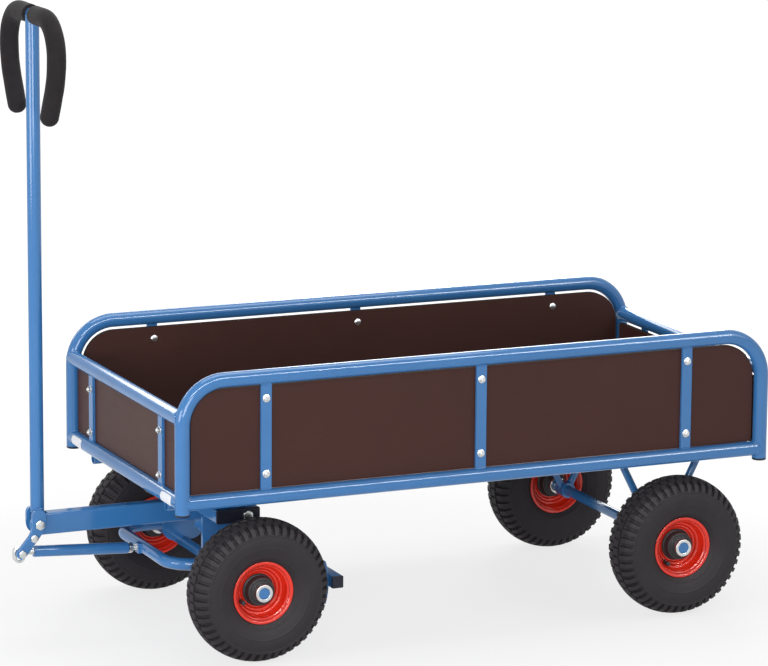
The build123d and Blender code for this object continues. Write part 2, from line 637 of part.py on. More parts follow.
def handle_path():
    """Handle line in the plane x = DRAWBAR_X: a flat top, round corners and arms that lean in."""
    lean = radians(HANDLE_LEAN)
    wide = HANDLE_TOP_HALF_Y + HANDLE_CORNER_R
    side_z = HANDLE_Z - HANDLE_CORNER_R
    side_centre = wide - HANDLE_SIDE_R
    bend_end = (side_centre + HANDLE_SIDE_R * cos(lean), side_z - HANDLE_SIDE_R * sin(lean))
    bend_middle = (side_centre + HANDLE_SIDE_R * cos(lean / 2), side_z - HANDLE_SIDE_R * sin(lean / 2))
    tip = (bend_end[0] - HANDLE_ARM * sin(lean), bend_end[1] - HANDLE_ARM * cos(lean))
    corner = HANDLE_CORNER_R * sin(radians(45))

    def at(y, z):
        return (DRAWBAR_X, y, z)

    def arm(s):
        return [
            Line(at(s * tip[0], tip[1]), at(s * bend_end[0], bend_end[1])),
            ThreePointArc(
                at(s * bend_end[0], bend_end[1]), at(s * bend_middle[0], bend_middle[1]), at(s * wide, side_z)
            ),
            ThreePointArc(
                at(s * wide, side_z),
                at(s * (HANDLE_TOP_HALF_Y + corner), side_z + corner),
                at(s * HANDLE_TOP_HALF_Y, HANDLE_Z),
            ),
        ]

    return arm, at, tip


def handle():
    """Bent handle tube on top of the drawbar, with two foam grips pushed on from its ends."""
    arm, at, tip = handle_path()
    top = Line(at(HANDLE_TOP_HALF_Y, HANDLE_Z), at(-HANDLE_TOP_HALF_Y, HANDLE_Z))
    other = [Line(e @ 1, e @ 0) if e.geom_type == GeomType.LINE else e for e in reversed(arm(-1))]
    whole = Wire(arm(1) + [top] + other)
    put("handle_tube", bent_tube(whole, HANDLE_TUBE_D, HANDLE_WALL))

    lean = radians(HANDLE_LEAN)
    bore = HANDLE_TUBE_D + 2 * GRIP_BORE_GAP
    for name, s in (("left", 1), ("right", -1)):
        inner_end = GRIP_GAP_Y + s * GRIP_GAP / 2
        line = Wire(arm(s) + [Line(at(s * HANDLE_TOP_HALF_Y, HANDLE_Z), at(inner_end, HANDLE_Z))])
        outer = bent_bar(line, GRIP_D)
        out_y, out_z = -s * sin(lean), -cos(lean)
        start = Plane(at(s * tip[0], tip[1]), x_dir=(1, 0, 0), z_dir=(0, out_y, out_z))
        dome = Cylinder(GRIP_D / 2, GRIP_TIP, align=FLANK)
        dome = fillet(dome.faces().sort_by(Axis.Z)[-1].edges(), GRIP_D / 3)
        notch = bar((DRAWBAR_X, 0, DRAWBAR_FOOT_Z), (DRAWBAR_X, 0, HANDLE_Z), DRAWBAR_D + 2 * GRIP_BORE_GAP)
        grip = outer - bent_bar(line, bore) - notch
        put(f"{name}_grip", largest(grip + start * dome))


def lever_outlines():
    """Long plate, bent forward to the rod bolt, and the short plate of the other side, flat in X and Z."""
    rear_x, front_x = PIVOT_X - LEVER_W / 2, PIVOT_X + LEVER_W / 2
    run_x, run_z = ROD_BOLT_X - ARM_BOLT_X, ROD_BOLT_Z - ARM_BOLT_Z
    reach = sqrt(run_x**2 + run_z**2)
    out_x, out_z = -run_z / reach * LEVER_LOBE_R, run_x / reach * LEVER_LOBE_R
    lobe_front = (ROD_BOLT_X + out_x, ROD_BOLT_Z + out_z)
    lobe_rear = (ROD_BOLT_X - out_x, ROD_BOLT_Z - out_z)
    bend = (front_x, lobe_front[1] - (lobe_front[0] - front_x) * run_z / run_x)
    heel = (rear_x, LEVER_HEEL_Z)
    tops = ((rear_x, LEVER_TOP_Z), (front_x, LEVER_TOP_Z))
    long_plate = make_face(Polyline(*tops, bend, lobe_front, lobe_rear, heel, close=True))
    long_plate = long_plate + Pos(ROD_BOLT_X, ROD_BOLT_Z) * Circle(LEVER_LOBE_R)
    short_plate = Pos(PIVOT_X, (PIVOT_Z + LEVER_TOP_Z) / 2) * Rectangle(LEVER_W, LEVER_TOP_Z - PIVOT_Z)
    short_plate = short_plate + Pos(PIVOT_X, PIVOT_Z) * Circle(LEVER_W / 2)
    for corner, radius in ((bend, LEVER_BEND_R), (heel, LEVER_HEEL_R), *((top, LEVER_TOP_R) for top in tops)):
        long_plate = fillet(long_plate.vertices().sort_by_distance((*corner, 0))[0], radius)
    short_plate = fillet(short_plate.vertices().group_by(Axis.Y)[-1], LEVER_TOP_R)
    pivot_hole = Pos(PIVOT_X, PIVOT_Z) * Circle(PIVOT_BOLT_D / 2 + RUN_GAP)
    for x, z in ((ROD_BOLT_X, ROD_BOLT_Z), (ARM_BOLT_X, ARM_BOLT_Z)):
        long_plate = long_plate - Pos(x, z) * Circle(ROD_BOLT_D / 2 + RUN_GAP)
    return long_plate - pivot_hole, short_plate - pivot_hole


def drawbar():
    """Drawbar tube, the plates that hang it on the beam, and the bolts in them."""
    tube = pipe((DRAWBAR_X, 0, DRAWBAR_FOOT_Z), (DRAWBAR_X, 0, HANDLE_Z), DRAWBAR_D, DRAWBAR_WALL)
    top_run = [(DRAWBAR_X, y, HANDLE_Z) for y in (-DRAWBAR_D, DRAWBAR_D)]
    put("drawbar_tube", largest(tube - bar(*top_run, HANDLE_TUBE_D + 2 * WELD_GAP)))

    inner_y = DRAWBAR_D / 2 + WELD_GAP
    outer_y = inner_y + LEVER_T
    long_outline, short_outline = lever_outlines()
    long_plate = extrude(Plane.XZ.offset(-outer_y) * long_outline, LEVER_T)
    short_plate = extrude(Plane.XZ.offset(inner_y) * short_outline, LEVER_T)
    put("lever_plates", long_plate, short_plate)

    pivot_line = [(PIVOT_X, y, PIVOT_Z) for y in (outer_y, -outer_y)]
    put("pivot_bolt", *hex_bolt(*pivot_line, PIVOT_BOLT_D, *PIVOT_HEX))
    rod_line = [(ROD_BOLT_X, y, ROD_BOLT_Z) for y in (outer_y, -EYE_T / 2 - TURN_GAP)]
    arm_face = (ARM_BOLT_X, outer_y, ARM_BOLT_Z)
    across_flats, head, _ = ROD_HEX
    arm_bolt = bar((ARM_BOLT_X, inner_y, ARM_BOLT_Z), arm_face, ROD_BOLT_D)
    arm_bolt = arm_bolt + hexagon(arm_face, (ARM_BOLT_X, outer_y + head, ARM_BOLT_Z), across_flats)
    put("lever_bolts", *hex_bolt(*rod_line, ROD_BOLT_D, *ROD_HEX), arm_bolt)


def brake():
    """Brake bow that slides in guides over the front axle, with its bar, shoes and push rod."""
    path = FilletPolyline(
        (BOW_REAR_X, -BOW_HALF_Y, BOW_Z),
        (BOW_FRONT_X, -BOW_HALF_Y, BOW_Z),
        (BOW_FRONT_X, BOW_HALF_Y, BOW_Z),
        (BOW_REAR_X, BOW_HALF_Y, BOW_Z),
        radius=BOW_BEND_R,
    )
    front = ((BOW_FRONT_X, -LUG_W, BOW_Z), (BOW_FRONT_X, LUG_W, BOW_Z))
    slope = (ROD_BOLT_Z - BOW_Z) / (ROD_BOLT_X - BOW_FRONT_X)

    def rod_point(x):
        return (x, 0, BOW_Z + slope * (x - BOW_FRONT_X))

    lug_x = (BOW_FRONT_X, BOW_FRONT_X + LUG_FRONT)
    lug = block(lug_x, (-LUG_W / 2, LUG_W / 2), (BOW_Z - LUG_W / 2, BOW_Z + LUG_W / 2))
    lug = lug - bar(*front, BOW_D - BOW_WALL)
    stud_start = rod_point(BOW_FRONT_X + BOW_D / 2)
    stud_end = rod_point(ROD_REAR_X + STUD_DEPTH)
    stud_hole = bar(stud_start, stud_end, STUD_D + 2 * WELD_GAP)
    put("brake_bow", bent_tube(path, BOW_D, BOW_WALL) + lug - stud_hole)

    nut_end = ROD_REAR_X - STUD_NUT_GAP
    nut = hexagon(rod_point(nut_end), rod_point(nut_end - STUD_NUT_H), STUD_NUT_AF)
    put("rod_stud", bar(stud_start, stud_end, STUD_D), nut - stud_hole)

    rod = pipe(rod_point(ROD_REAR_X), rod_point(ROD_FRONT_X), ROD_D, ROD_WALL)
    plug = bar(rod_point(ROD_REAR_X), stud_end, ROD_D - ROD_WALL) - stud_hole
    neck_low, neck_high = ROD_BOLT_Z - ROD_D / 2, ROD_BOLT_Z + ROD_D / 2 - EYE_PLAY
    eye = block((ROD_FRONT_X - EYE_NECK, ROD_BOLT_X), (-EYE_T / 2, EYE_T / 2), (neck_low, neck_high))
    slot_length = EYE_DROP + ROD_BOLT_D + 2 * EYE_PLAY
    slot = SlotOverall(slot_length, EYE_W - 2 * EYE_WALL, rotation=90)
    rim_of_eye = SlotOverall(slot_length + 2 * EYE_WALL, EYE_W, rotation=90)
    eye_centre = Pos(ROD_BOLT_X, ROD_BOLT_Z - EYE_DROP / 2)
    eye = eye + extrude(Plane.XZ.offset(-EYE_T / 2) * eye_centre * rim_of_eye, EYE_T)
    eye = eye - extrude(Plane.XZ.offset(-EYE_T) * eye_centre * slot, 2 * EYE_T)
    put("brake_rod", rod + plug + eye)

    bar_top = BOW_Z - BOW_D / 2 - WELD_GAP
    bar_front = FRONT_AXLE_X - WHEEL_R - SHOE_GAP - SHOE_T - WELD_GAP
    bar_x = (bar_front - BAR_SIZE, bar_front)
    bar_z = (bar_top - BAR_SIZE, bar_top)
    put("brake_bar", square_tube(BAR_HALF_Y, bar_x, bar_z, BAR_WALL, BAR_WALL))
    cap = square_plug(BAR_HALF_Y, bar_x, bar_z, BAR_WALL, BAR_WALL)
    put("brake_bar_caps", cap, flip(cap))

    inner_r = WHEEL_R + SHOE_GAP
    ring = Pos(FRONT_AXLE_X, WHEEL_R) * (Circle(inner_r + SHOE_T) - Circle(inner_r))
    window = Pos(FRONT_AXLE_X - inner_r, WHEEL_R) * Rectangle(inner_r, 2 * SHOE_HALF_H)
    shoe = extrude(Plane.XZ.offset(-SHOE_Y - SHOE_W / 2) * (ring & window), SHOE_W)
    put("brake_shoes", shoe, flip(shoe))

    guide_line = [(FRONT_AXLE_X + x, BOW_HALF_Y, BOW_Z) for x in GUIDE_X]
    saddle = block(
        (FRONT_AXLE_X - AXLE_D / 2, FRONT_AXLE_X + GUIDE_X[1]),
        (BOW_HALF_Y - GUIDE_D / 4, BOW_HALF_Y + GUIDE_D / 4),
        (WHEEL_R, BOW_Z),
    )
    axle_envelope = bar((FRONT_AXLE_X, 0, WHEEL_R), (FRONT_AXLE_X, TRACK / 2, WHEEL_R), AXLE_D + 2 * WELD_GAP)
    guide = bar(*guide_line, GUIDE_D) + saddle - bar(*guide_line, BOW_D + 2 * GUIDE_GAP) - axle_envelope
    put("brake_guides", largest(guide), flip(largest(guide)))


bed_frame()
straps()
panels()
panel_bolts()
wheels()
rear_axle_carriers()
turntable()
bolster_and_legs()
draw_beam()
drawbar()
handle()
brake()
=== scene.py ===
"""Looks of a steerable hand cart with a panelled bed, pneumatic tyres and a drawbar brake."""
import json

import bmesh
import bpy
import numpy as np
from mathutils import Matrix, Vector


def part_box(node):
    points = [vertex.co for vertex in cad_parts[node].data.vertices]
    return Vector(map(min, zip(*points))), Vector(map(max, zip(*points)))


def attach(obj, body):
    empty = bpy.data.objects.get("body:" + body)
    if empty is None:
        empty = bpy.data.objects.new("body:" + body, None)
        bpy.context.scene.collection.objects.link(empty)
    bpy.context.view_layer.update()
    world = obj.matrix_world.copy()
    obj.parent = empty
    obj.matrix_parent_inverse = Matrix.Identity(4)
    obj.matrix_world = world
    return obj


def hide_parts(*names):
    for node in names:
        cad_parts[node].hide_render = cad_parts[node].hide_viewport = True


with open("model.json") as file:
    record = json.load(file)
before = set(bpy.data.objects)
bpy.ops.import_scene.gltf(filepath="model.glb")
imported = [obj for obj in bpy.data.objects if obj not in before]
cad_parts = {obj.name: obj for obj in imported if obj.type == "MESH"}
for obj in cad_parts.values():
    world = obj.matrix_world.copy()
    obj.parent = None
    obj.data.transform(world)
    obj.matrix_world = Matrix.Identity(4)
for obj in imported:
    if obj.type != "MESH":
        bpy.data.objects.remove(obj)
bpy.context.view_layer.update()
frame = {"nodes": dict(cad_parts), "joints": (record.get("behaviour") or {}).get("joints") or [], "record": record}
scene = bpy.context.scene

# New pieces are worked out in millimetres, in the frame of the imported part, and scaled once to metres.
MM = 0.001
TURN = 2 * np.pi
MERGE = 0.002                # millimetres within which points fall together
BEND_SHARE = 0.45            # largest share of a side that a rounded corner takes up
JOINTS = {joint["name"]: joint for joint in frame["joints"]}
WHEELS = ("front_left", "front_right", "rear_left", "rear_right")

# Camera of the photograph: place in metres, angles in degrees, focal length and optical axis in pixels
IMAGE = (768, 666)
CAMERA_AT = (2.8639, 6.5109, 1.9810)
CAMERA_YAW, CAMERA_PITCH, CAMERA_ROLL = -113.86, -11.49, 0.41
FOCAL_PX = 3934.5
OPTICAL_AXIS = (374.1, 324.5)
SENSOR = 36.0

# Studio, in metres and watts
AMBIENT = 0.30
AIM = (0.0, 0.0, 0.4)        # what the soft boxes face
SOFT_BOXES = {               # place, length and width, power
    "key_box": ((1.6, 2.7, 1.0), (1.3, 1.1), 39.0),
    "front_box": ((2.9, 0.9, 0.8), (1.3, 0.8), 24.0),
    "rear_box": ((-1.6, -2.6, 1.7), (1.3, 1.3), 34.0),
    "fill_box": ((-2.2, 2.0, 2.2), (1.5, 1.5), 18.0),
    "overhead_box": ((0.0, -0.3, 3.2), (1.6, 2.8), 50.0),
}
STRIPS = {                   # slim tubes of light that show in reflections alone
    "near_strip": ((0.0, 2.15, 2.05), (4.4, 0.30), 95.0),
    "far_strip": ((0.0, -2.15, 1.50), (4.4, 0.30), 26.0),
}
FLOOR_HALF = 60.0
FLOOR_SHEET = 0.88           # what the floor throws back
FLOOR_SHADE = 0.23           # the share of it that is seen, so that shadows stay pale
FLOOR_GLOW = (0.76, 1.0)     # seen but not lighting the cart, near it and far from it, so that the floor is white
FLOOR_NEAR = (0.8, 2.4)      # distances between which the glow rises


def linear(code):
    """Linear RGBA of an sRGB hex colour: a power of 2.4 above 0.04045 and a straight line below."""
    srgb = np.array([int(code[k:k + 2], 16) for k in (1, 3, 5)]) / 255
    rgb = np.where(srgb <= 0.04045, srgb / 12.92, ((srgb + 0.055) / 1.055) ** 2.4)
    return (*rgb.tolist(), 1.0)


def grain(size):
    """Texture scale, per metre, of a pattern whose grains are this many millimetres across."""
    return 1 / (size * MM)


def node(tree, kind, inputs=(), **settings):
    """Add a shader node with its settings; each input, by name or place, takes a value or another node's output."""
    made = tree.nodes.new("ShaderNode" + kind)
    for name, value in settings.items():
        setattr(made, name, value)
    for name, value in dict(inputs).items():
        if isinstance(value, bpy.types.NodeSocket):
            tree.links.new(value, made.inputs[name])
        else:
            made.inputs[name].default_value = value
    return made


def start(name, **values):
    """New material, its tree, its principled shader with constant values set, and its object coordinates."""
    material = bpy.data.materials.new(name)
    material.use_nodes = True
    tree = material.node_tree
    shader = tree.nodes["Principled BSDF"]
    for key, value in values.items():
        shader.inputs[key.replace("_", " ").title().replace("Ior", "IOR")].default_value = value
    return material, tree, shader, node(tree, "TexCoord").outputs["Object"]


def dress(tree, shader, colour, roughness, height=None, strength=0.1, depth=0.3):
    """Link a colour, a roughness and a height, as a bump of this depth in millimetres, to a shader."""
    tree.links.new(colour, shader.inputs["Base Color"])
    tree.links.new(roughness, shader.inputs["Roughness"])
    if height is not None:
        bump = node(tree, "Bump", {"Height": height, "Strength": strength, "Distance": depth * MM})
        tree.links.new(bump.outputs["Normal"], shader.inputs["Normal"])


def enamel(name, dark, light, peel_size):
    """Stoved enamel on steel: glossy, with faint clouds of tint and the orange peel that the melt leaves."""
    material, tree, shader, place = start(name, specular_ior_level=0.5)
    cloud = node(tree, "TexNoise", {"Vector": place, "Scale": grain(90), "Detail": 3.0}).outputs["Fac"]
    tint = node(tree, "Mix", {0: cloud, 6: linear(dark), 7: linear(light)}, data_type="RGBA").outputs[2]
    peel = node(tree, "TexNoise", {"Vector": place, "Scale": grain(peel_size), "Detail": 1.0}).outputs["Fac"]
    gloss = node(tree, "MapRange", {"Value": cloud, "To Min": 0.08, "To Max": 0.14}).outputs["Result"]
    dress(tree, shader, tint, gloss, peel, 0.05)
    return material


PLY = 1.4                    # millimetres to a veneer


def film_faced_plywood(name, across):
    """Birch plywood under a brown phenolic film, through whose smooth faces the long fibres print faintly.

    Its sawn edges, sealed in brown, show the veneers as bands across the sheet, along axis 0, 1 or 2.
    """
    material, tree, shader, place = start(name, specular_ior_level=0.2)
    along = node(tree, "Mapping", {"Vector": place, "Scale": (0.06, 0.06, 1.0)}).outputs["Vector"]
    fibres = node(tree, "TexNoise", {"Vector": along, "Scale": grain(2.4), "Detail": 5.0}).outputs["Fac"]
    cloud = node(tree, "TexNoise", {"Vector": place, "Scale": grain(140), "Detail": 4.0}).outputs["Fac"]
    blend = node(tree, "Mix", {0: 0.45, 2: cloud, 3: fibres}).outputs[0]
    film = node(tree, "Mix", {0: blend, 6: linear("#331a15"), 7: linear("#472822")}, data_type="RGBA").outputs[2]

    normal = node(tree, "SeparateXYZ", {0: node(tree, "TexCoord").outputs["Normal"]}).outputs[across]
    facing = node(tree, "Math", {0: normal}, operation="ABSOLUTE").outputs[0]
    facing = node(tree, "Math", {0: facing, 1: 0.5}, operation="GREATER_THAN").outputs[0]
    depth = node(tree, "SeparateXYZ", {0: place}).outputs[across]
    layer = node(tree, "Math", {0: depth, 1: grain(2 * PLY)}, operation="MULTIPLY").outputs[0]
    layer = node(tree, "Math", {0: layer}, operation="FRACT").outputs[0]
    layer = node(tree, "Math", {0: layer, 1: 0.5}, operation="GREATER_THAN").outputs[0]
    edge = node(tree, "Mix", {0: layer, 6: linear("#2c1e1a"), 7: linear("#453127")}, data_type="RGBA").outputs[2]
    tint = node(tree, "Mix", {0: facing, 6: edge, 7: film}, data_type="RGBA").outputs[2]
    gloss = node(tree, "MapRange", {"Value": fibres, "To Min": 0.42, "To Max": 0.58}).outputs["Result"]
    gloss = node(tree, "Mix", {0: facing, 2: 0.95, 3: gloss}).outputs[0]
    dress(tree, shader, tint, gloss, fibres, 0.10, 0.2)
    return material


def bright_zinc():
    """Zinc-plated steel: a bright metal with a cloudy, slightly crystalline passivated skin."""
    material, tree, shader, place = start("bright_zinc", metallic=1.0)
    cloud = node(tree, "TexNoise", {"Vector": place, "Scale": grain(4), "Detail": 4.0}).outputs["Fac"]
    tint = node(tree, "Mix", {0: cloud, 6: linear("#b4b8bb"), 7: linear("#e2e3e1")}, data_type="RGBA").outputs[2]
    gloss = node(tree, "MapRange", {"Value": cloud, "To Min": 0.20, "To Max": 0.38}).outputs["Result"]
    dress(tree, shader, tint, gloss, cloud, 0.06, 0.2)
    return material


def moulded(name, dark, light, grit, low, high, relief):
    """Moulded black polymer: a fine cast skin whose grit, in millimetres, breaks the shine."""
    material, tree, shader, place = start(name, specular_ior_level=0.25)
    skin = node(tree, "TexNoise", {"Vector": place, "Scale": grain(grit), "Detail": 3.0}).outputs["Fac"]
    cloud = node(tree, "TexNoise", {"Vector": place, "Scale": grain(30), "Detail": 3.0}).outputs["Fac"]
    tint = node(tree, "Mix", {0: cloud, 6: linear(dark), 7: linear(light)}, data_type="RGBA").outputs[2]
    gloss = node(tree, "MapRange", {"Value": skin, "To Min": low, "To Max": high}).outputs["Result"]
    dress(tree, shader, tint, gloss, skin, relief, 0.4)
    return material


def closed_cell_foam():
    """Closed-cell rubber foam: a matt skin with small pores, drawn at twice their real size so that they show."""
    material, tree, shader, place = start("closed_cell_foam", specular_ior_level=0.12, sheen_weight=0.05)
    cells = node(tree, "TexVoronoi", {"Vector": place, "Scale": grain(1.6)}).outputs["Distance"]
    cloud = node(tree, "TexNoise", {"Vector": place, "Scale": grain(18), "Detail": 3.0}).outputs["Fac"]
    tint = node(tree, "Mix", {0: cloud, 6: linear("#1c191b"), 7: linear("#282527")}, data_type="RGBA").outputs[2]
    gloss = node(tree, "MapRange", {"Value": cells, "To Min": 0.72, "To Max": 0.92}).outputs["Result"]
    dress(tree, shader, tint, gloss, cells, 0.35, 0.5)
    return material


def blank_vinyl():
    """Soft white vinyl film: a smooth skin with a slight unevenness in its gloss."""
    material, tree, shader, place = start("blank_vinyl", specular_ior_level=0.5)
    cloud = node(tree, "TexNoise", {"Vector": place, "Scale": grain(12), "Detail": 2.0}).outputs["Fac"]
    tint = node(tree, "Mix", {0: cloud, 6: linear("#dfe2e8"), 7: linear("#eff1f5")}, data_type="RGBA").outputs[2]
    gloss = node(tree, "MapRange", {"Value": cloud, "To Min": 0.30, "To Max": 0.45}).outputs["Result"]
    dress(tree, shader, tint, gloss)
    return material


FINISHES = {
    "blue_enamel": enamel("blue_stoved_enamel", "#336ea9", "#3c78b2", 3.2),
    "zinc_plate": bright_zinc(),
    # cap_plastic: dark moulded plastic whose navy-black tint is painted shade, the look of the caps in deep shade
    # under the bed
    "cap_plastic": moulded("moulded_polyethylene_painted_shade", "#191b27", "#252836", 1.2, 0.24, 0.40, 0.10),
    "foam_grip": closed_cell_foam(),
    "tyre_rubber": moulded("vulcanised_rubber", "#221f22", "#2e2a2e", 1.5, 0.55, 0.75, 0.22),
    "red_enamel": enamel("red_stoved_enamel", "#de2a17", "#e7331f", 2.5),
    "hub_plastic": moulded("black_polyamide", "#302e30", "#3c3a3c", 1.2, 0.36, 0.55, 0.12),
}
END_PLY, SIDE_PLY = film_faced_plywood("end_panel_plywood", 0), film_faced_plywood("side_plywood", 1)
SHEETS = {                   # plywood by the axis across its thickness
    "front_panel": END_PLY, "rear_panel": END_PLY, "left_side_panel": SIDE_PLY, "right_side_panel": SIDE_PLY,
    "floor_board": film_faced_plywood("floor_plywood", 2),
}
PATCH_VINYL = blank_vinyl()


def dress_cad():
    """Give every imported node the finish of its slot, and each plywood sheet the one that fits its thickness."""
    for part in frame["record"]["subparts"]:
        for slot in frame["nodes"][part["node"]].material_slots:
            slot.material = SHEETS.get(part["node"]) or FINISHES[part["material_slot"]]


def quads(rows, cols, ring):
    """Corner numbers of a grid's quads: columns close on themselves, and so do rows in a ring."""
    row, col = np.meshgrid(np.arange(rows if ring else rows - 1), np.arange(cols), indexing="ij")
    below, beside = (row + 1) % rows, (col + 1) % cols
    corners = [row * cols + col, row * cols + beside, below * cols + beside, below * cols + col]
    return np.stack(corners, axis=-1).reshape(-1, 4)


def piece(name, body, slot, shells, material=None, ring=False, crease=35.0, replaces=()):
    """One object from closed grids of points (rows, columns, xyz in millimetres).

    Columns run round each shell. Rows close on themselves in a ring, and otherwise end in poles, whose
    points fall together and are merged. Edges sharper than the crease angle stay sharp.
    """
    sizes = [len(shell) * shell.shape[1] for shell in shells]
    firsts = np.concatenate([[0], np.cumsum(sizes)[:-1]])
    points = np.concatenate([shell.reshape(-1, 3) for shell in shells]) * MM
    faces = [quads(*shell.shape[:2], ring) + first for shell, first in zip(shells, firsts)]
    faces = np.concatenate(faces).astype(np.int32)
    mesh = bpy.data.meshes.new(name)
    mesh.vertices.add(len(points))
    mesh.vertices.foreach_set("co", points.astype(np.float32).ravel())
    mesh.loops.add(faces.size)
    mesh.loops.foreach_set("vertex_index", faces.ravel())
    mesh.polygons.add(len(faces))
    mesh.polygons.foreach_set("loop_start", np.arange(0, faces.size, 4, dtype=np.int32))
    mesh.update(calc_edges=True)
    work = bmesh.new()
    work.from_mesh(mesh)
    bmesh.ops.remove_doubles(work, verts=work.verts, dist=MERGE * MM)
    bmesh.ops.recalc_face_normals(work, faces=work.faces)
    work.to_mesh(mesh)
    work.free()
    mesh.shade_smooth()
    mesh.set_sharp_from_angle(angle=np.radians(crease))
    mesh.materials.append(material or FINISHES[slot])
    made = bpy.data.objects.new(name, mesh)
    scene.collection.objects.link(made)
    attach(made, body)
    if replaces:
        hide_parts(*replaces)
    return made


def box_mm(name):
    """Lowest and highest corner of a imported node, in millimetres."""
    low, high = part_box(name)
    return np.array(low) / MM, np.array(high) / MM


def square_to(direction):
    """Two unit vectors square to a direction and to each other, then the unit direction itself."""
    axis = np.array(direction, float) / np.linalg.norm(direction)
    side = np.cross(axis, (0.0, 0.0, 1.0) if abs(axis[2]) < 0.9 else (1.0, 0.0, 0.0))
    side /= np.linalg.norm(side)
    return side, np.cross(axis, side), axis


def rounded(corners, reach, closed=False, steps=6):
    """Outline with each corner bent into a parabola that leaves the sides at most reach before the corner.

    A bent corner P between A and B is (1-t)(1-t) S + 2t(1-t) P + t t E, where S and E lie on PA and PB.
    """
    corners = np.array(corners, float)
    before, after = np.roll(corners, 1, axis=0) - corners, np.roll(corners, -1, axis=0) - corners
    long_before = np.linalg.norm(before, axis=1, keepdims=True)
    long_after = np.linalg.norm(after, axis=1, keepdims=True)
    first = corners + before * np.minimum(BEND_SHARE, reach / np.maximum(long_before, 1e-9))
    last = corners + after * np.minimum(BEND_SHARE, reach / np.maximum(long_after, 1e-9))
    if not closed:
        first[[0, -1]] = last[[0, -1]] = corners[[0, -1]]
    t = np.linspace(0, 1, steps)[None, :, None]
    bends = (1 - t) ** 2 * first[:, None] + 2 * t * (1 - t) * corners[:, None] + t**2 * last[:, None]
    return bends.reshape(-1, corners.shape[1])


def turned(profile, centre, axis, sides=48, flats=None, thread=None):
    """Surface of revolution of (along, radius) pairs about an axis through a centre.

    flats gives a hexagon's half width for each row, so that the radius at an angle is at most that half
    width over the cosine of the angle from the nearest flat. thread is (depth of each row, pitch): the
    radius there sinks by depth times a raised cosine that climbs one pitch a turn.
    """
    along, radius = np.array(profile, float).T
    angle = np.arange(sides) * TURN / sides
    across = np.repeat(radius[:, None], sides, axis=1)
    if flats is not None:
        from_flat = (angle + TURN / 12) % (TURN / 6) - TURN / 12
        across = np.minimum(across, np.array(flats)[:, None] / np.cos(from_flat))
    if thread is not None:
        depth, pitch = thread
        phase = TURN * along[:, None] / pitch - angle
        across = across - np.array(depth)[:, None] * (0.5 + 0.5 * np.cos(phase))
    u, v, w = square_to(axis)
    spokes = np.cos(angle)[:, None] * u + np.sin(angle)[:, None] * v
    return np.array(centre, float) + along[:, None, None] * w + across[..., None] * spokes


def rings(path, tangent, spoke, radius, sides):
    """Circles square to a path: at angle a, radius times (cos a along the spoke plus sin a square to it).

    The spoke is first made square to the tangent; radius is one value, or one for each point of the path.
    """
    tangent = tangent / np.linalg.norm(tangent, axis=1, keepdims=True)
    spoke = spoke - (spoke * tangent).sum(axis=1, keepdims=True) * tangent
    spoke /= np.linalg.norm(spoke, axis=1, keepdims=True)
    other = np.cross(tangent, spoke)
    angle = np.arange(sides) * TURN / sides
    ring = np.cos(angle)[None, :, None] * spoke[:, None] + np.sin(angle)[None, :, None] * other[:, None]
    return path[:, None] + np.broadcast_to(radius, len(path))[:, None, None] * ring


def swept(path, radius, sides):
    """Round section carried along a path; its first spoke is the path's least used axis, so it has no twist."""
    least_used = np.eye(3)[np.argmin(np.ptp(path, axis=0))]
    return rings(path, np.gradient(path, axis=0), least_used, radius, sides)


# Tyre, in millimetres: radii, and distances from the middle of the wheel
TYRE_R, TYRE_HALF_W = 130.0, 42.5
WALL_R = 95.0                # where the tyre is widest
SHOULDER = (122.0, 31.5)
BEAD = (57.2, 27.4)          # where the tyre leaves the rim's flange
SEAT_R, TOE_Y = 50.2, 14.0
LUGS = 48
LUG_GAP = 0.42               # share of the pitch taken by the gap between two lugs
BLOCK_GAP = 0.20             # the same for the blocks of the inner rows
GAP_SLOPE = 0.035            # half the share of the pitch taken by the sloping wall of a gap
LUG_DEPTH, BLOCK_DEPTH, RING_DEPTH = 5.6, 3.2, 4.4
LUG_REACH = (6.65, 19.0)     # how far down the wall the gaps begin to run out, and end
RING_GROOVES = ((0.0, 1.4), (17.3, 1.6))    # middle and half width of the grooves round the tread
GROOVE_SLOPE = 0.5           # half the width of a groove's sloping wall
RAISED_RINGS = ((107.0, 1.0), (84.0, 0.5), (66.0, 0.7))    # radius and height of the ridges on the walls
RIDGE_HALF = (0.6, 1.8)      # half the width of a ridge, at its top and at its foot
BELOW_LUGS = 99.0            # depth given to the rows of the wall that no gap reaches
# Rows of the grid: radii on the wall below and above its widest point, then distances on the crown.
# Columns: shares of half a lug's pitch, closest where the walls of the gaps stand.
LOW_ROWS = (57.2, 60, 63, 64.4, 65.4, 66.6, 67.6, 69, 73, 78, 81, 82.4, 83.4, 84.6, 85.6, 87, 91)
HIGH_ROWS = (95, 99, 103, 105.3, 106.4, 107.6, 108.7, 111, 113, 115, 117, 119, 120.6)
CROWN_ROWS = (31.5, 30.6, 29, 26, 23, 20, 19.3, 18.5, 16.1, 15.3, 14.6, 10, 6, 2.2, 1.6, 0.9, 0)
HALF_PITCH = np.array((0.0, 0.07, 0.13, 0.18, 0.25, 0.32, 0.37, 0.43))


def ramp(value, low, high):
    """0 below low, 1 above high, and a cubic between them whose ends are level."""
    t = np.clip((value - low) / (high - low), 0, 1)
    return t * t * (3 - 2 * t)


def gap_at(turn, share):
    """1 inside the gap round each whole turn of a lug's pitch, 0 on the lug, with sloping walls."""
    away = np.abs((turn + 0.5) % 1 - 0.5)
    return 1 - ramp(away, share / 2 - GAP_SLOPE, share / 2 + GAP_SLOPE)


def wall_arc(end):
    """Radius of the arc that starts level at the widest point and ends at (radius, y)."""
    rise, drop = abs(end[0] - WALL_R), TYRE_HALF_W - end[1]
    return (rise**2 + drop**2) / (2 * drop)


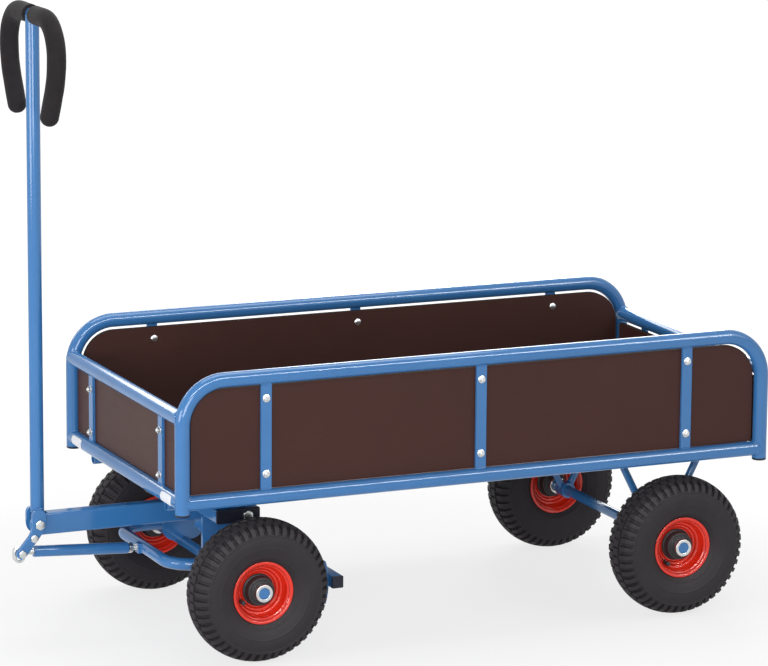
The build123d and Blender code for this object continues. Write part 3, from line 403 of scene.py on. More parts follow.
def tyre_shell(centre, outer):
    """Tyre as a function of the place along its section and of the angle round the wheel.

    The section is a wall arc below the widest point, one above it, and the crown arc. Every point sinks
    along the section's normal by the largest of: the ring grooves, the gaps between the shoulder lugs,
    and those between the inner blocks. The lugs of one shoulder stand half a pitch from the other's.
    """
    low_r, high_r = wall_arc(BEAD), wall_arc(SHOULDER)
    rise = TYRE_R - SHOULDER[0]
    crown_r = (rise**2 + SHOULDER[1] ** 2) / (2 * rise)
    low = np.arcsin((WALL_R - np.array(LOW_ROWS)) / low_r)
    high = np.arcsin((np.array(HIGH_ROWS) - WALL_R) / high_r)
    high_end = np.arcsin((SHOULDER[0] - WALL_R) / high_r)
    crown = np.arcsin(np.array(CROWN_ROWS) / crown_r)

    radius = np.concatenate([
        WALL_R - low_r * np.sin(low), WALL_R + high_r * np.sin(high), TYRE_R - crown_r * (1 - np.cos(crown))
    ])
    y = np.concatenate([
        TYRE_HALF_W - low_r * (1 - np.cos(low)), TYRE_HALF_W - high_r * (1 - np.cos(high)), crown_r * np.sin(crown)
    ])
    tilt = np.concatenate([-low, high, TURN / 4 - crown])
    below = np.concatenate([
        np.full(len(low), BELOW_LUGS), high_r * (high_end - high), np.zeros(len(crown))
    ])
    half = len(radius)
    on_crown = np.arange(half) >= len(low) + len(high)

    ring = np.zeros(half)
    for middle, width in RING_GROOVES:
        groove = 1 - ramp(np.abs(y - middle), width - GROOVE_SLOPE, width + GROOVE_SLOPE)
        ring = np.maximum(ring, np.where(on_crown, RING_DEPTH * groove, 0))
    edge_of_row = RING_GROOVES[1][0]
    lug = LUG_DEPTH * (1 - ramp(below, *LUG_REACH)) * np.where(y > edge_of_row, 1, 0)
    block = np.where(on_crown & (y < edge_of_row), BLOCK_DEPTH, 0)
    raised = np.zeros(half)
    for ring_r, height in RAISED_RINGS:
        raised = np.maximum(raised, height * (1 - ramp(np.abs(radius - ring_r), *RIDGE_HALF)))
    raised = np.where(on_crown, 0, raised)

    pitch = np.concatenate([HALF_PITCH, 0.5 + HALF_PITCH])
    turn = (np.arange(LUGS)[:, None] + pitch[None]).ravel()

    def side(shift):
        """Radii and distances of one half of the tyre, its lugs shifted by a share of the pitch."""
        lugs = lug[:, None] * gap_at(turn + shift, LUG_GAP)[None]
        blocks = block[:, None] * gap_at(turn + shift + 0.5, BLOCK_GAP)[None]
        sink = np.maximum(ring[:, None], np.maximum(lugs, blocks)) - raised[:, None]
        return radius[:, None] - sink * np.sin(tilt)[:, None], y[:, None] - sink * np.cos(tilt)[:, None]

    near_r, near_y = side(0.0)
    far_r, far_y = side(0.5)
    seat_y = np.array([-BEAD[1], -TOE_Y, TOE_Y, BEAD[1]])[:, None] * np.ones(len(turn))
    seat_r = np.full(seat_y.shape, SEAT_R)
    section_r = np.concatenate([near_r, far_r[::-1][1:], seat_r])
    section_y = np.concatenate([near_y, -far_y[::-1][1:], seat_y])
    angle = turn / LUGS * TURN
    points = np.stack([section_r * np.cos(angle), outer * section_y, section_r * np.sin(angle)], axis=-1)
    return np.array(centre) + points


# Sections of rim, hub and valve, in millimetres: (distance from the wheel's middle, radius)
RIM_HALF = ((30.0, 57.0), (27.6, 57.0), (27.6, 50.0), (14.0, 50.0), (10.0, 44.0))
RIM_DISH = ((2.0, 25.6), (2.0, 32.0), (5.2, 34.2), (5.2, 37.4), (9.6, 40.4), (9.6, 42.8), (15.6, 46.4),
            (23.6, 47.0), (25.4, 49.6), (27.6, 51.0), (30.0, 53.4))
HUB_HALF = ((20.0, 10.1), (20.0, 17.3), (18.9, 17.8), (18.9, 20.4), (20.0, 21.0), (20.0, 25.5), (6.0, 25.5),
            (4.5, 29.6), (1.9, 29.6))
VALVE_STEM = ((2, 0), (2, 5.2), (6, 4.2), (9, 3.2), (15, 3.2), (15, 4.0), (25.5, 4.0), (26.5, 0))
RIM_EDGE, HUB_EDGE, STEM_EDGE = 1.5, 3.0, 0.8    # how far before a corner its rounding begins
VALVE_AT = {                 # x and z from the middle of the wheel
    "front_left": (36.0, -16.0), "front_right": (30.0, 26.0), "rear_left": (26.0, -30.0), "rear_right": (-34.0, 20.0),
}


def mirrored(half):
    """Closed outline from its half on the positive side, followed by the same points mirrored, backwards."""
    half = np.array(half, float)
    return np.concatenate([half, half[::-1] * (-1, 1)])


def wheel(name):
    """Treaded tyre, pressed rim, moulded hub and rubber valve of one wheel."""
    body = f"{name}_wheel"
    centre = np.array(JOINTS[f"{name}_spin"]["pos_m"]) / MM
    outer = np.sign(centre[1])
    axis = (0, outer, 0)
    piece(f"{name}_treaded_tyre", body, "tyre_rubber", [tyre_shell(centre, outer)], ring=True, crease=38,
          replaces=[f"{name}_tyre"])
    rim = rounded(mirrored(RIM_HALF[::-1] + RIM_DISH[::-1]), RIM_EDGE, closed=True)
    piece(f"{name}_pressed_rim", body, "red_enamel", [turned(rim, centre, axis, sides=96)], ring=True,
          replaces=[f"{name}_rim"])
    hub = rounded(mirrored(HUB_HALF), HUB_EDGE, closed=True)
    piece(f"{name}_moulded_hub", body, "hub_plastic", [turned(hub, centre, axis, sides=72)], ring=True,
          replaces=[f"{name}_hub"])
    x, z = VALVE_AT[name]
    stem = rounded(VALVE_STEM, STEM_EDGE)
    piece(f"{name}_valve", body, "hub_plastic", [turned(stem, centre + (x, 0, z), axis, sides=24)])


# Handle line, in millimetres, in the plane of the drawbar
HANDLE_TOP_HALF, HANDLE_CORNER_R, HANDLE_SIDE_R, HANDLE_ARM = 64.5, 63.0, 132.0, 48.0
HANDLE_LEAN = np.radians(28.0)
GRIP_R = 17.0
GRIP_TIP = 20.0              # foam beyond the end of the tube
GRIP_INNER_Y = {"left": 16.0, "right": -4.0}
GRIP_EDGE = 3.0              # length of the rounding at the inner end
GRIP_END_SHARE = 0.8         # share of the radius that is left there
GRIP_SHARE = 0.999           # largest share of the radius, which the waves take from
GRIP_WAVE, GRIP_WAVE_LENGTHS = 0.008, (9.0, 23.0)
ARM_STEPS, SIDE_STEPS, CORNER_STEPS, TOP_STEPS = 30, 24, 32, 40


def handle_line(side, inner_y):
    """Axis of one grip from its tip to its inner end: a straight arm, two arcs and a straight top."""
    low, high = box_mm("handle_tube")
    x, top = (low[0] + high[0]) / 2, high[2] - (high[0] - low[0]) / 2
    wide, bend_z = HANDLE_TOP_HALF + HANDLE_CORNER_R, top - HANDLE_CORNER_R
    lean = np.linspace(HANDLE_LEAN, 0, SIDE_STEPS)
    side_y, side_z = wide - HANDLE_SIDE_R * (1 - np.cos(lean)), bend_z - HANDLE_SIDE_R * np.sin(lean)
    arm = np.linspace(HANDLE_ARM + GRIP_TIP, 0, ARM_STEPS, endpoint=False)
    arm_y, arm_z = side_y[0] - arm * np.sin(HANDLE_LEAN), side_z[0] - arm * np.cos(HANDLE_LEAN)
    turn = np.linspace(0, TURN / 4, CORNER_STEPS)[1:]
    corner_y = HANDLE_TOP_HALF + HANDLE_CORNER_R * np.cos(turn)
    corner_z = bend_z + HANDLE_CORNER_R * np.sin(turn)
    top_y = np.linspace(HANDLE_TOP_HALF, side * inner_y, TOP_STEPS)[1:]
    y = np.concatenate([arm_y, side_y, corner_y, top_y])
    z = np.concatenate([arm_z, side_z, corner_z, np.full(len(top_y), top)])
    return np.stack([np.full(len(y), x), side * y, z], axis=-1)


def quarter_round(share):
    """Height of a quarter circle over a share of its width: 0 at 0, and 1 from 1 on."""
    return np.sqrt(1 - (1 - np.clip(share, 0, 1)) ** 2)


def grip(name, side):
    """Foam sleeve along the handle line: full radius, a round tip, a soft inner edge and a slight waviness."""
    line = handle_line(side, GRIP_INNER_Y[name])
    step = np.linalg.norm(np.diff(line, axis=0), axis=1)
    along = np.concatenate([[0], np.cumsum(step)])
    tip = quarter_round(along / GRIP_R)
    inner = GRIP_END_SHARE + (1 - GRIP_END_SHARE) * quarter_round((along[-1] - along) / GRIP_EDGE)
    inner[-1] = 0
    short, long = (np.sin(along / length) for length in GRIP_WAVE_LENGTHS)
    radius = GRIP_R * tip * inner * (GRIP_SHARE - GRIP_WAVE * (1 + short * long))
    made = piece(f"{name}_foam_grip", "drawbar", "foam_grip", [swept(line, radius, sides=40)],
                 replaces=[f"{name}_grip"], crease=60)


# Places on the cart, in millimetres: x from the middle of the bed, z from the floor
BED = np.mean(box_mm("left_hoop"), axis=0) * (1, 0, 0)
SIDE_STRAP_X, SIDE_BOLT_Z = (-417.0, 0.0, 417.0), (345.0, 481.0)
END_STRAP_Y, END_BOLT_Z = 180.0, (334.0, 415.0)
STRAP_OUT_Y, END_STRAP_OUT_X = 286.0, 576.5
REAR_BOSS, REAR_BOSS_R = (-413.0, 195.0, 130.0), 15.0
HANDLE_FOOT, HANDLE_TUBE_R = (744.0, 0.0, 1138.0), 11.0
LEVER_TOP = 248.0
LEVER_IN_Y, LEVER_OUT_Y = 12.55, 20.55
PIVOT_BOLT, ROD_BOLT, ARM_BOLT = (747.0, 221.5), (780.0, 170.0), (757.5, 197.0)    # x and z
BOLSTER_X, BOLSTER_Z, BOLSTER_END_Y = (382.0, 466.0), (230.0, 256.0), 168.05
BOLSTER_BOLT = (407.0, 172.0, 243.0)
ROD_START, ROD_SLOPE = (540.0, 155.0), 0.0625    # x and z where the brake rod's axis meets the bow, and its rise
ROD_AXIS = np.array((1.0, 0.0, ROD_SLOPE)) / np.hypot(1.0, ROD_SLOPE)


def rod_point(x):
    """Point on the axis of the brake rod."""
    return BED + (x, 0, ROD_START[1] + ROD_SLOPE * (x - ROD_START[0]))


def mirror_y(shells):
    """The shells and their mirror images on the cart's other side."""
    return shells + [shell * (1, -1, 1) for shell in shells]


# Weld beads
BEAD_R = 2.0
BEAD_STEPS, BEAD_SIDES = 120, 10
RIPPLE, RIPPLE_STEPS = 1.6, 6    # millimetres of weld to a ripple, and rings to it in a seam
SEAM_STEPS = 24              # least number of rings in a seam
THINNEST = 0.03              # least share of a bead's radius
BEAD_WAVE, SEAM_WAVE = 0.10, 0.12    # height of the ripples, as a share of the bead's radius
FLANK_ROOM = 1.15 * BEAD_R   # a bead is slimmer where the flank of the main tube is nearer than this
STRAP_SEAM_HALF, STRAP_SEAM_R = 9.0, 1.7
SIDE_SEAM_Z, END_SEAM_Z = (317.3, 506.6), (317.3, 441.6)
CROSSBAR_SINK = 0.3          # how far the line of a crossbar's bead lies inside its skin
STRUT_RUN, STRUT_RISE = 72.0, 139.55
STRUT_R, STRUT_ASIDE = 7.0, 4.36     # radius, and how far its axis passes the axis of the boss
HANDLE_BEAD_R = 10.8
# Straight seams of each body: both ends and the radius
BOGIE_SEAMS = (
    ((423, 95.6, 229.6), (464, 95.6, 229.6), 2.2),       # axle leg under the bolster, its inner face
    ((423, 104.4, 229.6), (464, 104.4, 229.6), 2.2),     # and its outer face
    ((442, 12.6, 229.6), (465, 12.6, 229.6), 2.2),       # draw beam under the bolster
    ((466.3, 12.4, 231), (466.3, 12.4, 239), 2.0),       # and in front of it
)
BRAKE_SEAMS = (
    ((269, 144.5, 144.4), (288, 144.5, 144.4), 1.8),     # arm of the bow on the brake bar
    ((269, 155.5, 144.4), (288, 155.5, 144.4), 1.8),
    ((289.2, 230, 122.4), (289.2, 266, 122.4), 1.6),     # shoe on the front of the brake bar
    ((289.2, 230, 143.6), (289.2, 266, 143.6), 1.6),
    ((549, 9.2, 147), (549, 9.2, 163), 1.6),             # lug of the stud on the bow
)
FOOT_SEAMS = (((737, 13.0, LEVER_TOP), (751, 13.0, LEVER_TOP), 2.0),)    # lever plates on the drawbar


def saddle_bead(centre, branch, main, branch_r, main_r, shift=0.0):
    """Bead round a tube that ends on another tube: the line where the two skins meet, with a rippled section.

    At angle a round the branch, the line lies branch_r cos a along the main tube, branch_r sin a plus the
    shift of the branch across it, and the root of main_r squared less that across squared along the branch.
    Each ring stands square to the line, and its first spoke points away from the line's middle.
    """
    branch, main = np.array(branch, float), np.array(main, float)
    angle = np.arange(BEAD_STEPS) * TURN / BEAD_STEPS
    aside = branch_r * np.sin(angle) + shift
    out = np.sqrt(np.maximum(main_r**2 - aside**2, 0))
    path = (np.array(centre) + branch_r * np.cos(angle)[:, None] * main
            + aside[:, None] * np.cross(branch, main) + out[:, None] * branch)
    ripple = 1 + BEAD_WAVE * np.cos(angle * round(TURN * branch_r / RIPPLE))
    flank = ((main_r - np.abs(aside)) / FLANK_ROOM).clip(THINNEST, 1)
    tangent = np.roll(path, -1, axis=0) - np.roll(path, 1, axis=0)
    return rings(path, tangent, path - path.mean(axis=0), BEAD_R * ripple * flank, BEAD_SIDES)


def seam(first, last, radius):
    """Straight bead between two points: a rippled round section that tapers to a point at both ends."""
    run = np.subtract(last, first)
    length = np.linalg.norm(run)
    t = np.linspace(0, 1, max(SEAM_STEPS, int(length / RIPPLE * RIPPLE_STEPS)))
    taper = (1 - np.abs(2 * t - 1) ** 8) ** 0.5
    ripple = 1 + SEAM_WAVE * np.cos(TURN * t * round(length / RIPPLE))
    return swept(BED + np.array(first) + t[:, None] * run, radius * taper * ripple, BEAD_SIDES)


def strap_seams():
    """Seams across both ends of every strap, where it stands on its tubes."""
    shells, half = [], STRAP_SEAM_HALF
    for x in SIDE_STRAP_X:
        for z in SIDE_SEAM_Z:
            shells.append(seam((x - half, STRAP_OUT_Y, z), (x + half, STRAP_OUT_Y, z), STRAP_SEAM_R))
    for x in (-END_STRAP_OUT_X, END_STRAP_OUT_X):
        for z in END_SEAM_Z:
            shells.append(seam((x, END_STRAP_Y - half, z), (x, END_STRAP_Y + half, z), STRAP_SEAM_R))
    return mirror_y(shells)


def bed_welds():
    """Beads where crossbars and rails meet the hoops, straps their tubes, and struts the bosses on the axle."""
    tube_r = np.ptp(np.array(box_mm("left_lower_rail"))[:, 1]) / 2
    shells = []
    for bar in ("front_lower_crossbar", "rear_lower_crossbar", "front_upper_crossbar", "rear_upper_crossbar"):
        middle = np.mean(box_mm(bar), axis=0)
        for hoop, way in (("left_hoop", -1), ("right_hoop", 1)):
            centre = (middle[0], np.mean(box_mm(hoop), axis=0)[1], middle[2])
            shells.append(saddle_bead(centre, (0, way, 0), (0, 0, 1), tube_r - CROSSBAR_SINK, tube_r))
    hoop_low, hoop_high = box_mm("left_hoop")
    for rail in ("left_lower_rail", "right_lower_rail"):
        middle = np.mean(box_mm(rail), axis=0)
        for x, way in ((hoop_low[0] + tube_r, 1), (hoop_high[0] - tube_r, -1)):
            shells.append(saddle_bead((x, middle[1], middle[2]), (way, 0, 0), (0, 0, 1), tube_r, tube_r))
    struts = []
    for lean in (1, -1):
        branch = np.array((lean * STRUT_RUN, 0, STRUT_RISE)) / np.hypot(STRUT_RUN, STRUT_RISE)
        struts.append(saddle_bead(BED + REAR_BOSS, branch, (0, 1, 0), STRUT_R, REAR_BOSS_R, -STRUT_ASIDE * lean))
    piece("bed_weld_beads", "bed", "blue_enamel", shells + mirror_y(struts), ring=True, crease=80)
    piece("strap_weld_seams", "bed", "blue_enamel", strap_seams(), crease=80)


def gear_welds():
    """Beads on the swivelling bogie, on the brake and at both ends of the drawbar."""
    places = {
        "bogie_weld_seams": ("bogie", BOGIE_SEAMS), "brake_weld_seams": ("brake", BRAKE_SEAMS),
        "drawbar_foot_seams": ("drawbar", FOOT_SEAMS),
    }
    for name, (body, seams) in places.items():
        piece(name, body, "blue_enamel", mirror_y([seam(*ends_and_radius) for ends_and_radius in seams]), crease=80)
    top = saddle_bead(BED + HANDLE_FOOT, (0, 0, -1), (0, 1, 0), HANDLE_BEAD_R, HANDLE_TUBE_R)
    piece("handle_weld_bead", "drawbar", "blue_enamel", [top], ring=True, crease=80)


# Bolts and nuts, in millimetres: metric threads as radius and pitch, hexagons as width across flats and height
M6, M8, M10, M12 = (3.0, 1.0), (4.0, 1.25), (5.0, 1.5), (6.0, 1.75)
PANEL_HEAD = (7.0, 3.0)      # radius and height of a dome
PANEL_NUT, PANEL_FLANGE = (10.0, 5.0), (7.0, 1.4)
PANEL_GRIP, PANEL_TAIL = 15.0, 7.5    # panel and strap together, and the bolt beyond them
PIVOT_HEAD, PIVOT_NUT, PIVOT_TAIL = (16.0, 6.4), (16.0, 8.0), 11.3
LEVER_HEAD, LEVER_NUT, ROD_BOLT_TAIL = (13.0, 5.3), (13.0, 6.5), 9.1
ROD_BOLT_REACH = LEVER_OUT_Y + 7.3    # from the face of the lever to the nut behind the eye
ARM_BOLT_LENGTH, ARM_BOLT_PLAIN = 8.0, 6.0
BOLSTER_HEAD, BOLSTER_BOLT_LENGTH, BOLSTER_BOLT_PLAIN = (17.0, 6.4), 16.0, 6.0
STUD_X, STUD_LENGTH, STUD_PLAIN = 551.5, 34.5, 1.0
STUD_NUT, STUD_NUT_X = (17.0, 8.0), 563.0
OPEN = 99.0                  # half width that stands for no flats
TIP, THREAD_STEPS = 0.8, 5   # chamfer at the tip of a thread, and rings to a pitch
FLANGE_EDGE = 0.4
DOME_RIM = (0.3, 0.35)       # cut below a dome's rim, and the rim's height


def hexagonal(seat, axis, size, flange=None):
    """Hexagon nut or head on a seat: both ends are cut to a cone; a flange is its (radius, thickness).

    Each row is the height over the seat, the radius of the cone and half the width across flats. The corners
    of the hexagon lie at 1.155 of that half width.
    """
    wide, high = size
    a = wide / 2
    rows = [(0, 0, a), (0, 0.96 * a, a), (0.11 * a, 1.16 * a, a)]
    if flange:
        r, t = flange
        rows = [(0, 0, OPEN), (0, r - FLANGE_EDGE, OPEN), (FLANGE_EDGE, r, OPEN), (0.7 * t, r, OPEN),
                (1.3 * t, 1.13 * a, OPEN), (1.35 * t, 1.16 * a, a)]
    rows += [(high - 0.12 * a, 1.16 * a, a), (high - 0.05 * a, 1.06 * a, a), (high, 0.94 * a, a), (high, 0, a)]
    rows = np.array(rows, float)
    return turned(rows[:, :2], seat, axis, flats=rows[:, 2])


def threaded(foot, axis, thread, length, plain):
    """Round bar from its foot along an axis: plain at first, then cut with a thread up to its chamfered tip."""
    radius, pitch = thread
    along = np.arange(plain, length - TIP, pitch / THREAD_STEPS)
    profile = [(0, 0), (0, radius), *[(a, radius) for a in along], (length, radius - TIP), (length, 0)]
    depth = np.concatenate([[0, 0], 0.5 * pitch * ramp(along, plain, plain + pitch), [0, 0]])
    return turned(profile, foot, axis, sides=24, thread=(depth, pitch))


def bolt(seat, out, head, thread, length, plain):
    """Hexagon bolt: a head that faces outward on its seat, and a shank that runs inward from there."""
    return [hexagonal(seat, out, head), threaded(seat, -out, thread, length, plain)]


def dome(seat, axis, size):
    """Low mushroom head of a carriage bolt, a quarter of an ellipse turned about the axis."""
    (radius, high), (cut, rim) = size, DOME_RIM
    t = np.linspace(0, TURN / 4, 12)
    profile = [(0, 0), (0, radius - cut), *zip(rim + (high - rim) * np.sin(t), radius * np.cos(t))]
    return turned(profile, seat, axis, sides=32)


def panel_fasteners():
    """Carriage bolts through panels and straps, domes inside the bed and flange nuts outside."""
    places = []
    for x in SIDE_STRAP_X:
        places += [(BED + (x, STRAP_OUT_Y, z), np.array((0.0, 1.0, 0.0))) for z in SIDE_BOLT_Z]
    for x in (-END_STRAP_OUT_X, END_STRAP_OUT_X):
        places += [(BED + (x, END_STRAP_Y, z), np.array((np.sign(x), 0.0, 0.0))) for z in END_BOLT_Z]
    bolts, nuts = [], []
    for seat, out in places:
        inside = seat - PANEL_GRIP * out
        bolts.append(dome(inside, -out, PANEL_HEAD))
        bolts.append(threaded(inside, out, M6, PANEL_GRIP + PANEL_TAIL, PANEL_GRIP))
        nuts.append(hexagonal(seat, out, PANEL_NUT, PANEL_FLANGE))
    piece("panel_carriage_bolts", "bed", "zinc_plate", mirror_y(bolts), replaces=["panel_bolts"])
    piece("panel_flange_nuts", "bed", "zinc_plate", mirror_y(nuts), replaces=["panel_nuts"])


def gear_fasteners():
    """Hexagon bolts of the lever and of the bolster's ends, and the stud with its lock nut behind the rod."""
    out = np.array((0.0, 1.0, 0.0))
    pivot, rod, arm = (BED + (x, LEVER_OUT_Y, z) for x, z in (PIVOT_BOLT, ROD_BOLT, ARM_BOLT))
    grip_length = 2 * LEVER_OUT_Y
    shells = bolt(pivot, out, PIVOT_HEAD, M10, grip_length + PIVOT_TAIL, grip_length)
    shells.append(hexagonal(pivot - grip_length * out, -out, PIVOT_NUT))
    piece("pivot_hexagon_bolt", "drawbar", "zinc_plate", shells, replaces=["pivot_bolt"])
    shells = bolt(rod, out, LEVER_HEAD, M8, ROD_BOLT_REACH + ROD_BOLT_TAIL, ROD_BOLT_REACH)
    shells.append(hexagonal(rod - ROD_BOLT_REACH * out, -out, LEVER_NUT))
    shells += bolt(arm, out, LEVER_HEAD, M8, ARM_BOLT_LENGTH, ARM_BOLT_PLAIN)
    piece("lever_hexagon_bolts", "drawbar", "zinc_plate", shells, replaces=["lever_bolts"])
    shells = bolt(BED + BOLSTER_BOLT, out, BOLSTER_HEAD, M10, BOLSTER_BOLT_LENGTH, BOLSTER_BOLT_PLAIN)
    piece("bolster_hexagon_bolts", "bogie", "zinc_plate", mirror_y(shells), replaces=["bolster_bolts"])
    shells = [
        threaded(rod_point(STUD_X), ROD_AXIS, M10, STUD_LENGTH, STUD_PLAIN),
        hexagonal(rod_point(STUD_NUT_X), ROD_AXIS, STUD_NUT),
    ]
    piece("threaded_rod_stud", "brake", "zinc_plate", shells, replaces=["rod_stud"])


# Brake rod and its slotted eye
ROD_TUBE_X, ROD_TUBE_LENGTH, ROD_TUBE_R, ROD_TUBE_EDGE = 572.0, 180.3, 10.4, 1.2
SHANK_X, SHANK_LENGTH, SHANK_PLAIN = 746.0, 27.0, 4.0
EYE_AT = (780.0, 0.0, 165.2)
EYE_HALF_T, EYE_HALF_SLOT = 7.0, 4.8
EYE_INNER_R, EYE_OUTER_R, EYE_EDGE = 5.2, 10.2, 1.6


def slotted_eye():
    """Eye with a long hole: a rounded section carried round two half circles a slot's length apart.

    A point of the section lies a radius out from the centre of its half circle, along the angle round it.
    """
    half = np.linspace(0, TURN / 2, 25)
    angle = np.concatenate([half, half + TURN / 2])
    lift = np.repeat((EYE_HALF_SLOT, -EYE_HALF_SLOT), len(half))
    corners = [(EYE_OUTER_R, -EYE_HALF_T), (EYE_OUTER_R, EYE_HALF_T), (EYE_INNER_R, EYE_HALF_T),
               (EYE_INNER_R, -EYE_HALF_T)]
    out, y = rounded(corners, EYE_EDGE, closed=True).T
    x = out[None] * np.cos(angle)[:, None]
    z = out[None] * np.sin(angle)[:, None] + lift[:, None]
    return BED + EYE_AT + np.stack([x, np.broadcast_to(y, x.shape), z], axis=-1)


def brake_rod():
    """Painted tube of the brake rod, and its plated eye on a threaded shank."""
    corners = [(0, 0), (0, ROD_TUBE_R), (ROD_TUBE_LENGTH, ROD_TUBE_R), (ROD_TUBE_LENGTH, 0)]
    tube = turned(rounded(corners, ROD_TUBE_EDGE), rod_point(ROD_TUBE_X), ROD_AXIS)
    piece("brake_rod_tube", "brake", "blue_enamel", [tube], replaces=["brake_rod"])
    piece("brake_rod_eye", "brake", "zinc_plate", [slotted_eye()], ring=True, crease=50)
    shank = threaded(rod_point(SHANK_X), ROD_AXIS, M12, SHANK_LENGTH, SHANK_PLAIN)
    piece("brake_rod_shank", "brake", "zinc_plate", [shank])


# Lever plates and bolster caps: outlines in x and z, and a core inside each
LONG_PLATE = ((734.0, LEVER_TOP), (760.0, LEVER_TOP), (760.0, 208.8), (793.4, 168.8), (778.8, 156.6), (745.0, 199.0),
              (734.0, 214.0))
SHORT_PLATE = ((734.0, LEVER_TOP), (760.0, LEVER_TOP), (760.0, 208.5), (734.0, 208.5))
LONG_CORE, SHORT_CORE = (752.0, 208.0), (747.0, 228.0)
PLATE_CORNER, PLATE_EDGE = 12.0, 1.0
CAP_T, CAP_CORNER, CAP_EDGE = 3.95, 4.0, 1.6


def slab(outline, core, low, high, edge):
    """Plate with an outline in X and Z and a thickness along Y, its edges rounded off by quarter circles.

    At angle q of an edge the outline is drawn in by edge (1 - sin q), edge (1 - cos q) from the face. Both
    faces close on the core, a point from which the whole outline can be seen.
    """
    outline = np.array(outline, float)
    along = np.roll(outline, -1, axis=0) - np.roll(outline, 1, axis=0)
    along /= np.linalg.norm(along, axis=1, keepdims=True)
    around = np.sum(outline[:, 0] * np.roll(outline[:, 1], -1) - outline[:, 1] * np.roll(outline[:, 0], -1))
    inward = np.sign(around) * np.stack([-along[:, 1], along[:, 0]], axis=-1)
    q = np.linspace(0, TURN / 4, 5)
    drawn_in, from_face = edge * (1 - np.sin(q)), edge * (1 - np.cos(q))
    loops = outline[None] + np.concatenate([drawn_in, drawn_in[::-1]])[:, None, None] * inward[None]
    pole = np.broadcast_to(np.array(core, float), (1, *outline.shape))
    flat = np.concatenate([pole, loops, pole])
    y = np.concatenate([[low], low + from_face, high - from_face[::-1], [high]])
    return BED + np.stack([flat[..., 0], np.repeat(y[:, None], len(outline), axis=1), flat[..., 1]], axis=-1)


def lever_plates():
    """Bent plate that swings the brake rod and the short plate of the other side, both welded to the drawbar."""
    long_outline, short_outline = (rounded(plate, PLATE_CORNER, closed=True) for plate in (LONG_PLATE, SHORT_PLATE))
    long_plate = slab(long_outline, LONG_CORE, LEVER_IN_Y, LEVER_OUT_Y, PLATE_EDGE)
    short_plate = slab(short_outline, SHORT_CORE, -LEVER_OUT_Y, -LEVER_IN_Y, PLATE_EDGE)
    piece("bent_lever_plates", "drawbar", "blue_enamel", [long_plate, short_plate], replaces=["lever_plates"])


def bolster_caps():
    """Moulded caps on the ends of the bolster."""
    (rear, front), (low, high) = BOLSTER_X, BOLSTER_Z
    outline = rounded([(rear, low), (front, low), (front, high), (rear, high)], CAP_CORNER, closed=True)
    core = ((rear + front) / 2, (low + high) / 2)
    cap = slab(outline, core, BOLSTER_END_Y, BOLSTER_END_Y + CAP_T, CAP_EDGE)
    piece("bolster_moulded_caps", "bogie", "cap_plastic", mirror_y([cap]), replaces=["bolster_end_caps"])


# Set collars, and the section of their screws: distance from the axle's axis, radius and half width of the socket
COLLAR_AT, COLLAR_HALF, COLLAR_R, COLLAR_BORE, COLLAR_EDGE = 27.4, 7.0, 16.0, 10.05, 1.2
SET_SCREW = np.array((
    (9.9, 0, OPEN), (9.9, 3, OPEN), (16.7, 3, OPEN), (17, 2.7, OPEN),
    (17, 1.74, 1.5), (14.5, 1.74, 1.5), (14.5, 0, 1.5),
))


def set_collars(end, body):
    """Plated collars beside the hubs of one axle, each with a socket set screw from below."""
    corners = mirrored([(COLLAR_HALF, COLLAR_BORE), (COLLAR_HALF, COLLAR_R)])
    outline = rounded(corners, COLLAR_EDGE, closed=True, steps=4)
    collars, screws = [], []
    for hand in ("left", "right"):
        middle = np.array(JOINTS[f"{end}_{hand}_spin"]["pos_m"]) / MM
        for way in (1, -1):
            centre = middle + (0, way * COLLAR_AT, 0)
            collars.append(turned(outline, centre, (0, 1, 0), sides=64))
            screws.append(turned(SET_SCREW[:, :2], centre, (0, 0, -1), sides=24, flats=SET_SCREW[:, 2]))
    piece(f"{end}_set_collars", body, "zinc_plate", collars, ring=True, replaces=[f"{end}_axle_collars"])
    piece(f"{end}_set_screws", body, "zinc_plate", screws)


# Blank patches on the front tube, in millimetres
PATCH_Y, PATCH_HALF = (-232.0, 234.0), 26.0
PATCH_ANGLES = np.radians((-38.0, 42.0))
PATCH_T = 0.4
PATCH_ROWS, PATCH_COLS = 33, 25


def patches():
    """Thin films bent round the front lower tube: an angle across by a length along, rounded at their corners."""
    low, high = box_mm("front_lower_crossbar")
    axis_x, axis_z = (low[0] + high[0]) / 2, (low[2] + high[2]) / 2
    tube_r = (high[2] - low[2]) / 2
    t = np.linspace(-1, 1, PATCH_ROWS)
    narrow = (1 - np.abs(t) ** 8) ** 0.25
    middle, half = PATCH_ANGLES.mean(), np.ptp(PATCH_ANGLES) / 2
    share = np.concatenate([np.linspace(-1, 1, PATCH_COLS), np.linspace(1, -1, PATCH_COLS)])
    lift = np.repeat((PATCH_T, -PATCH_T), PATCH_COLS)
    angle = middle + half * narrow[:, None] * share[None]
    radius = tube_r + lift[None] * np.minimum(1, 8 * narrow)[:, None]
    x, z = axis_x + radius * np.cos(angle), axis_z + radius * np.sin(angle)
    shells = []
    for y in PATCH_Y:
        shells.append(np.stack([x, (y + PATCH_HALF * t)[:, None] * np.ones(len(share)), z], axis=-1))
    piece("blank_patches", "bed", "blue_enamel", shells, material=PATCH_VINYL, crease=60)


def placed(at, right, up, back):
    """World matrix of a lamp or a camera, from its place and the directions of its three axes."""
    return Matrix.Translation(at) @ Matrix(np.column_stack([right, up, back]).tolist()).to_4x4()


def seen_directly(tree):
    """1 for rays from the camera and for those that it gets by a reflection or through glass, else 0."""
    path = node(tree, "LightPath").outputs
    seen = node(tree, "Math", {0: path["Is Camera Ray"], 1: path["Is Glossy Ray"]}, operation="MAXIMUM")
    return node(tree, "Math", {0: seen.outputs[0], 1: path["Is Transmission Ray"]}, operation="MAXIMUM").outputs[0]


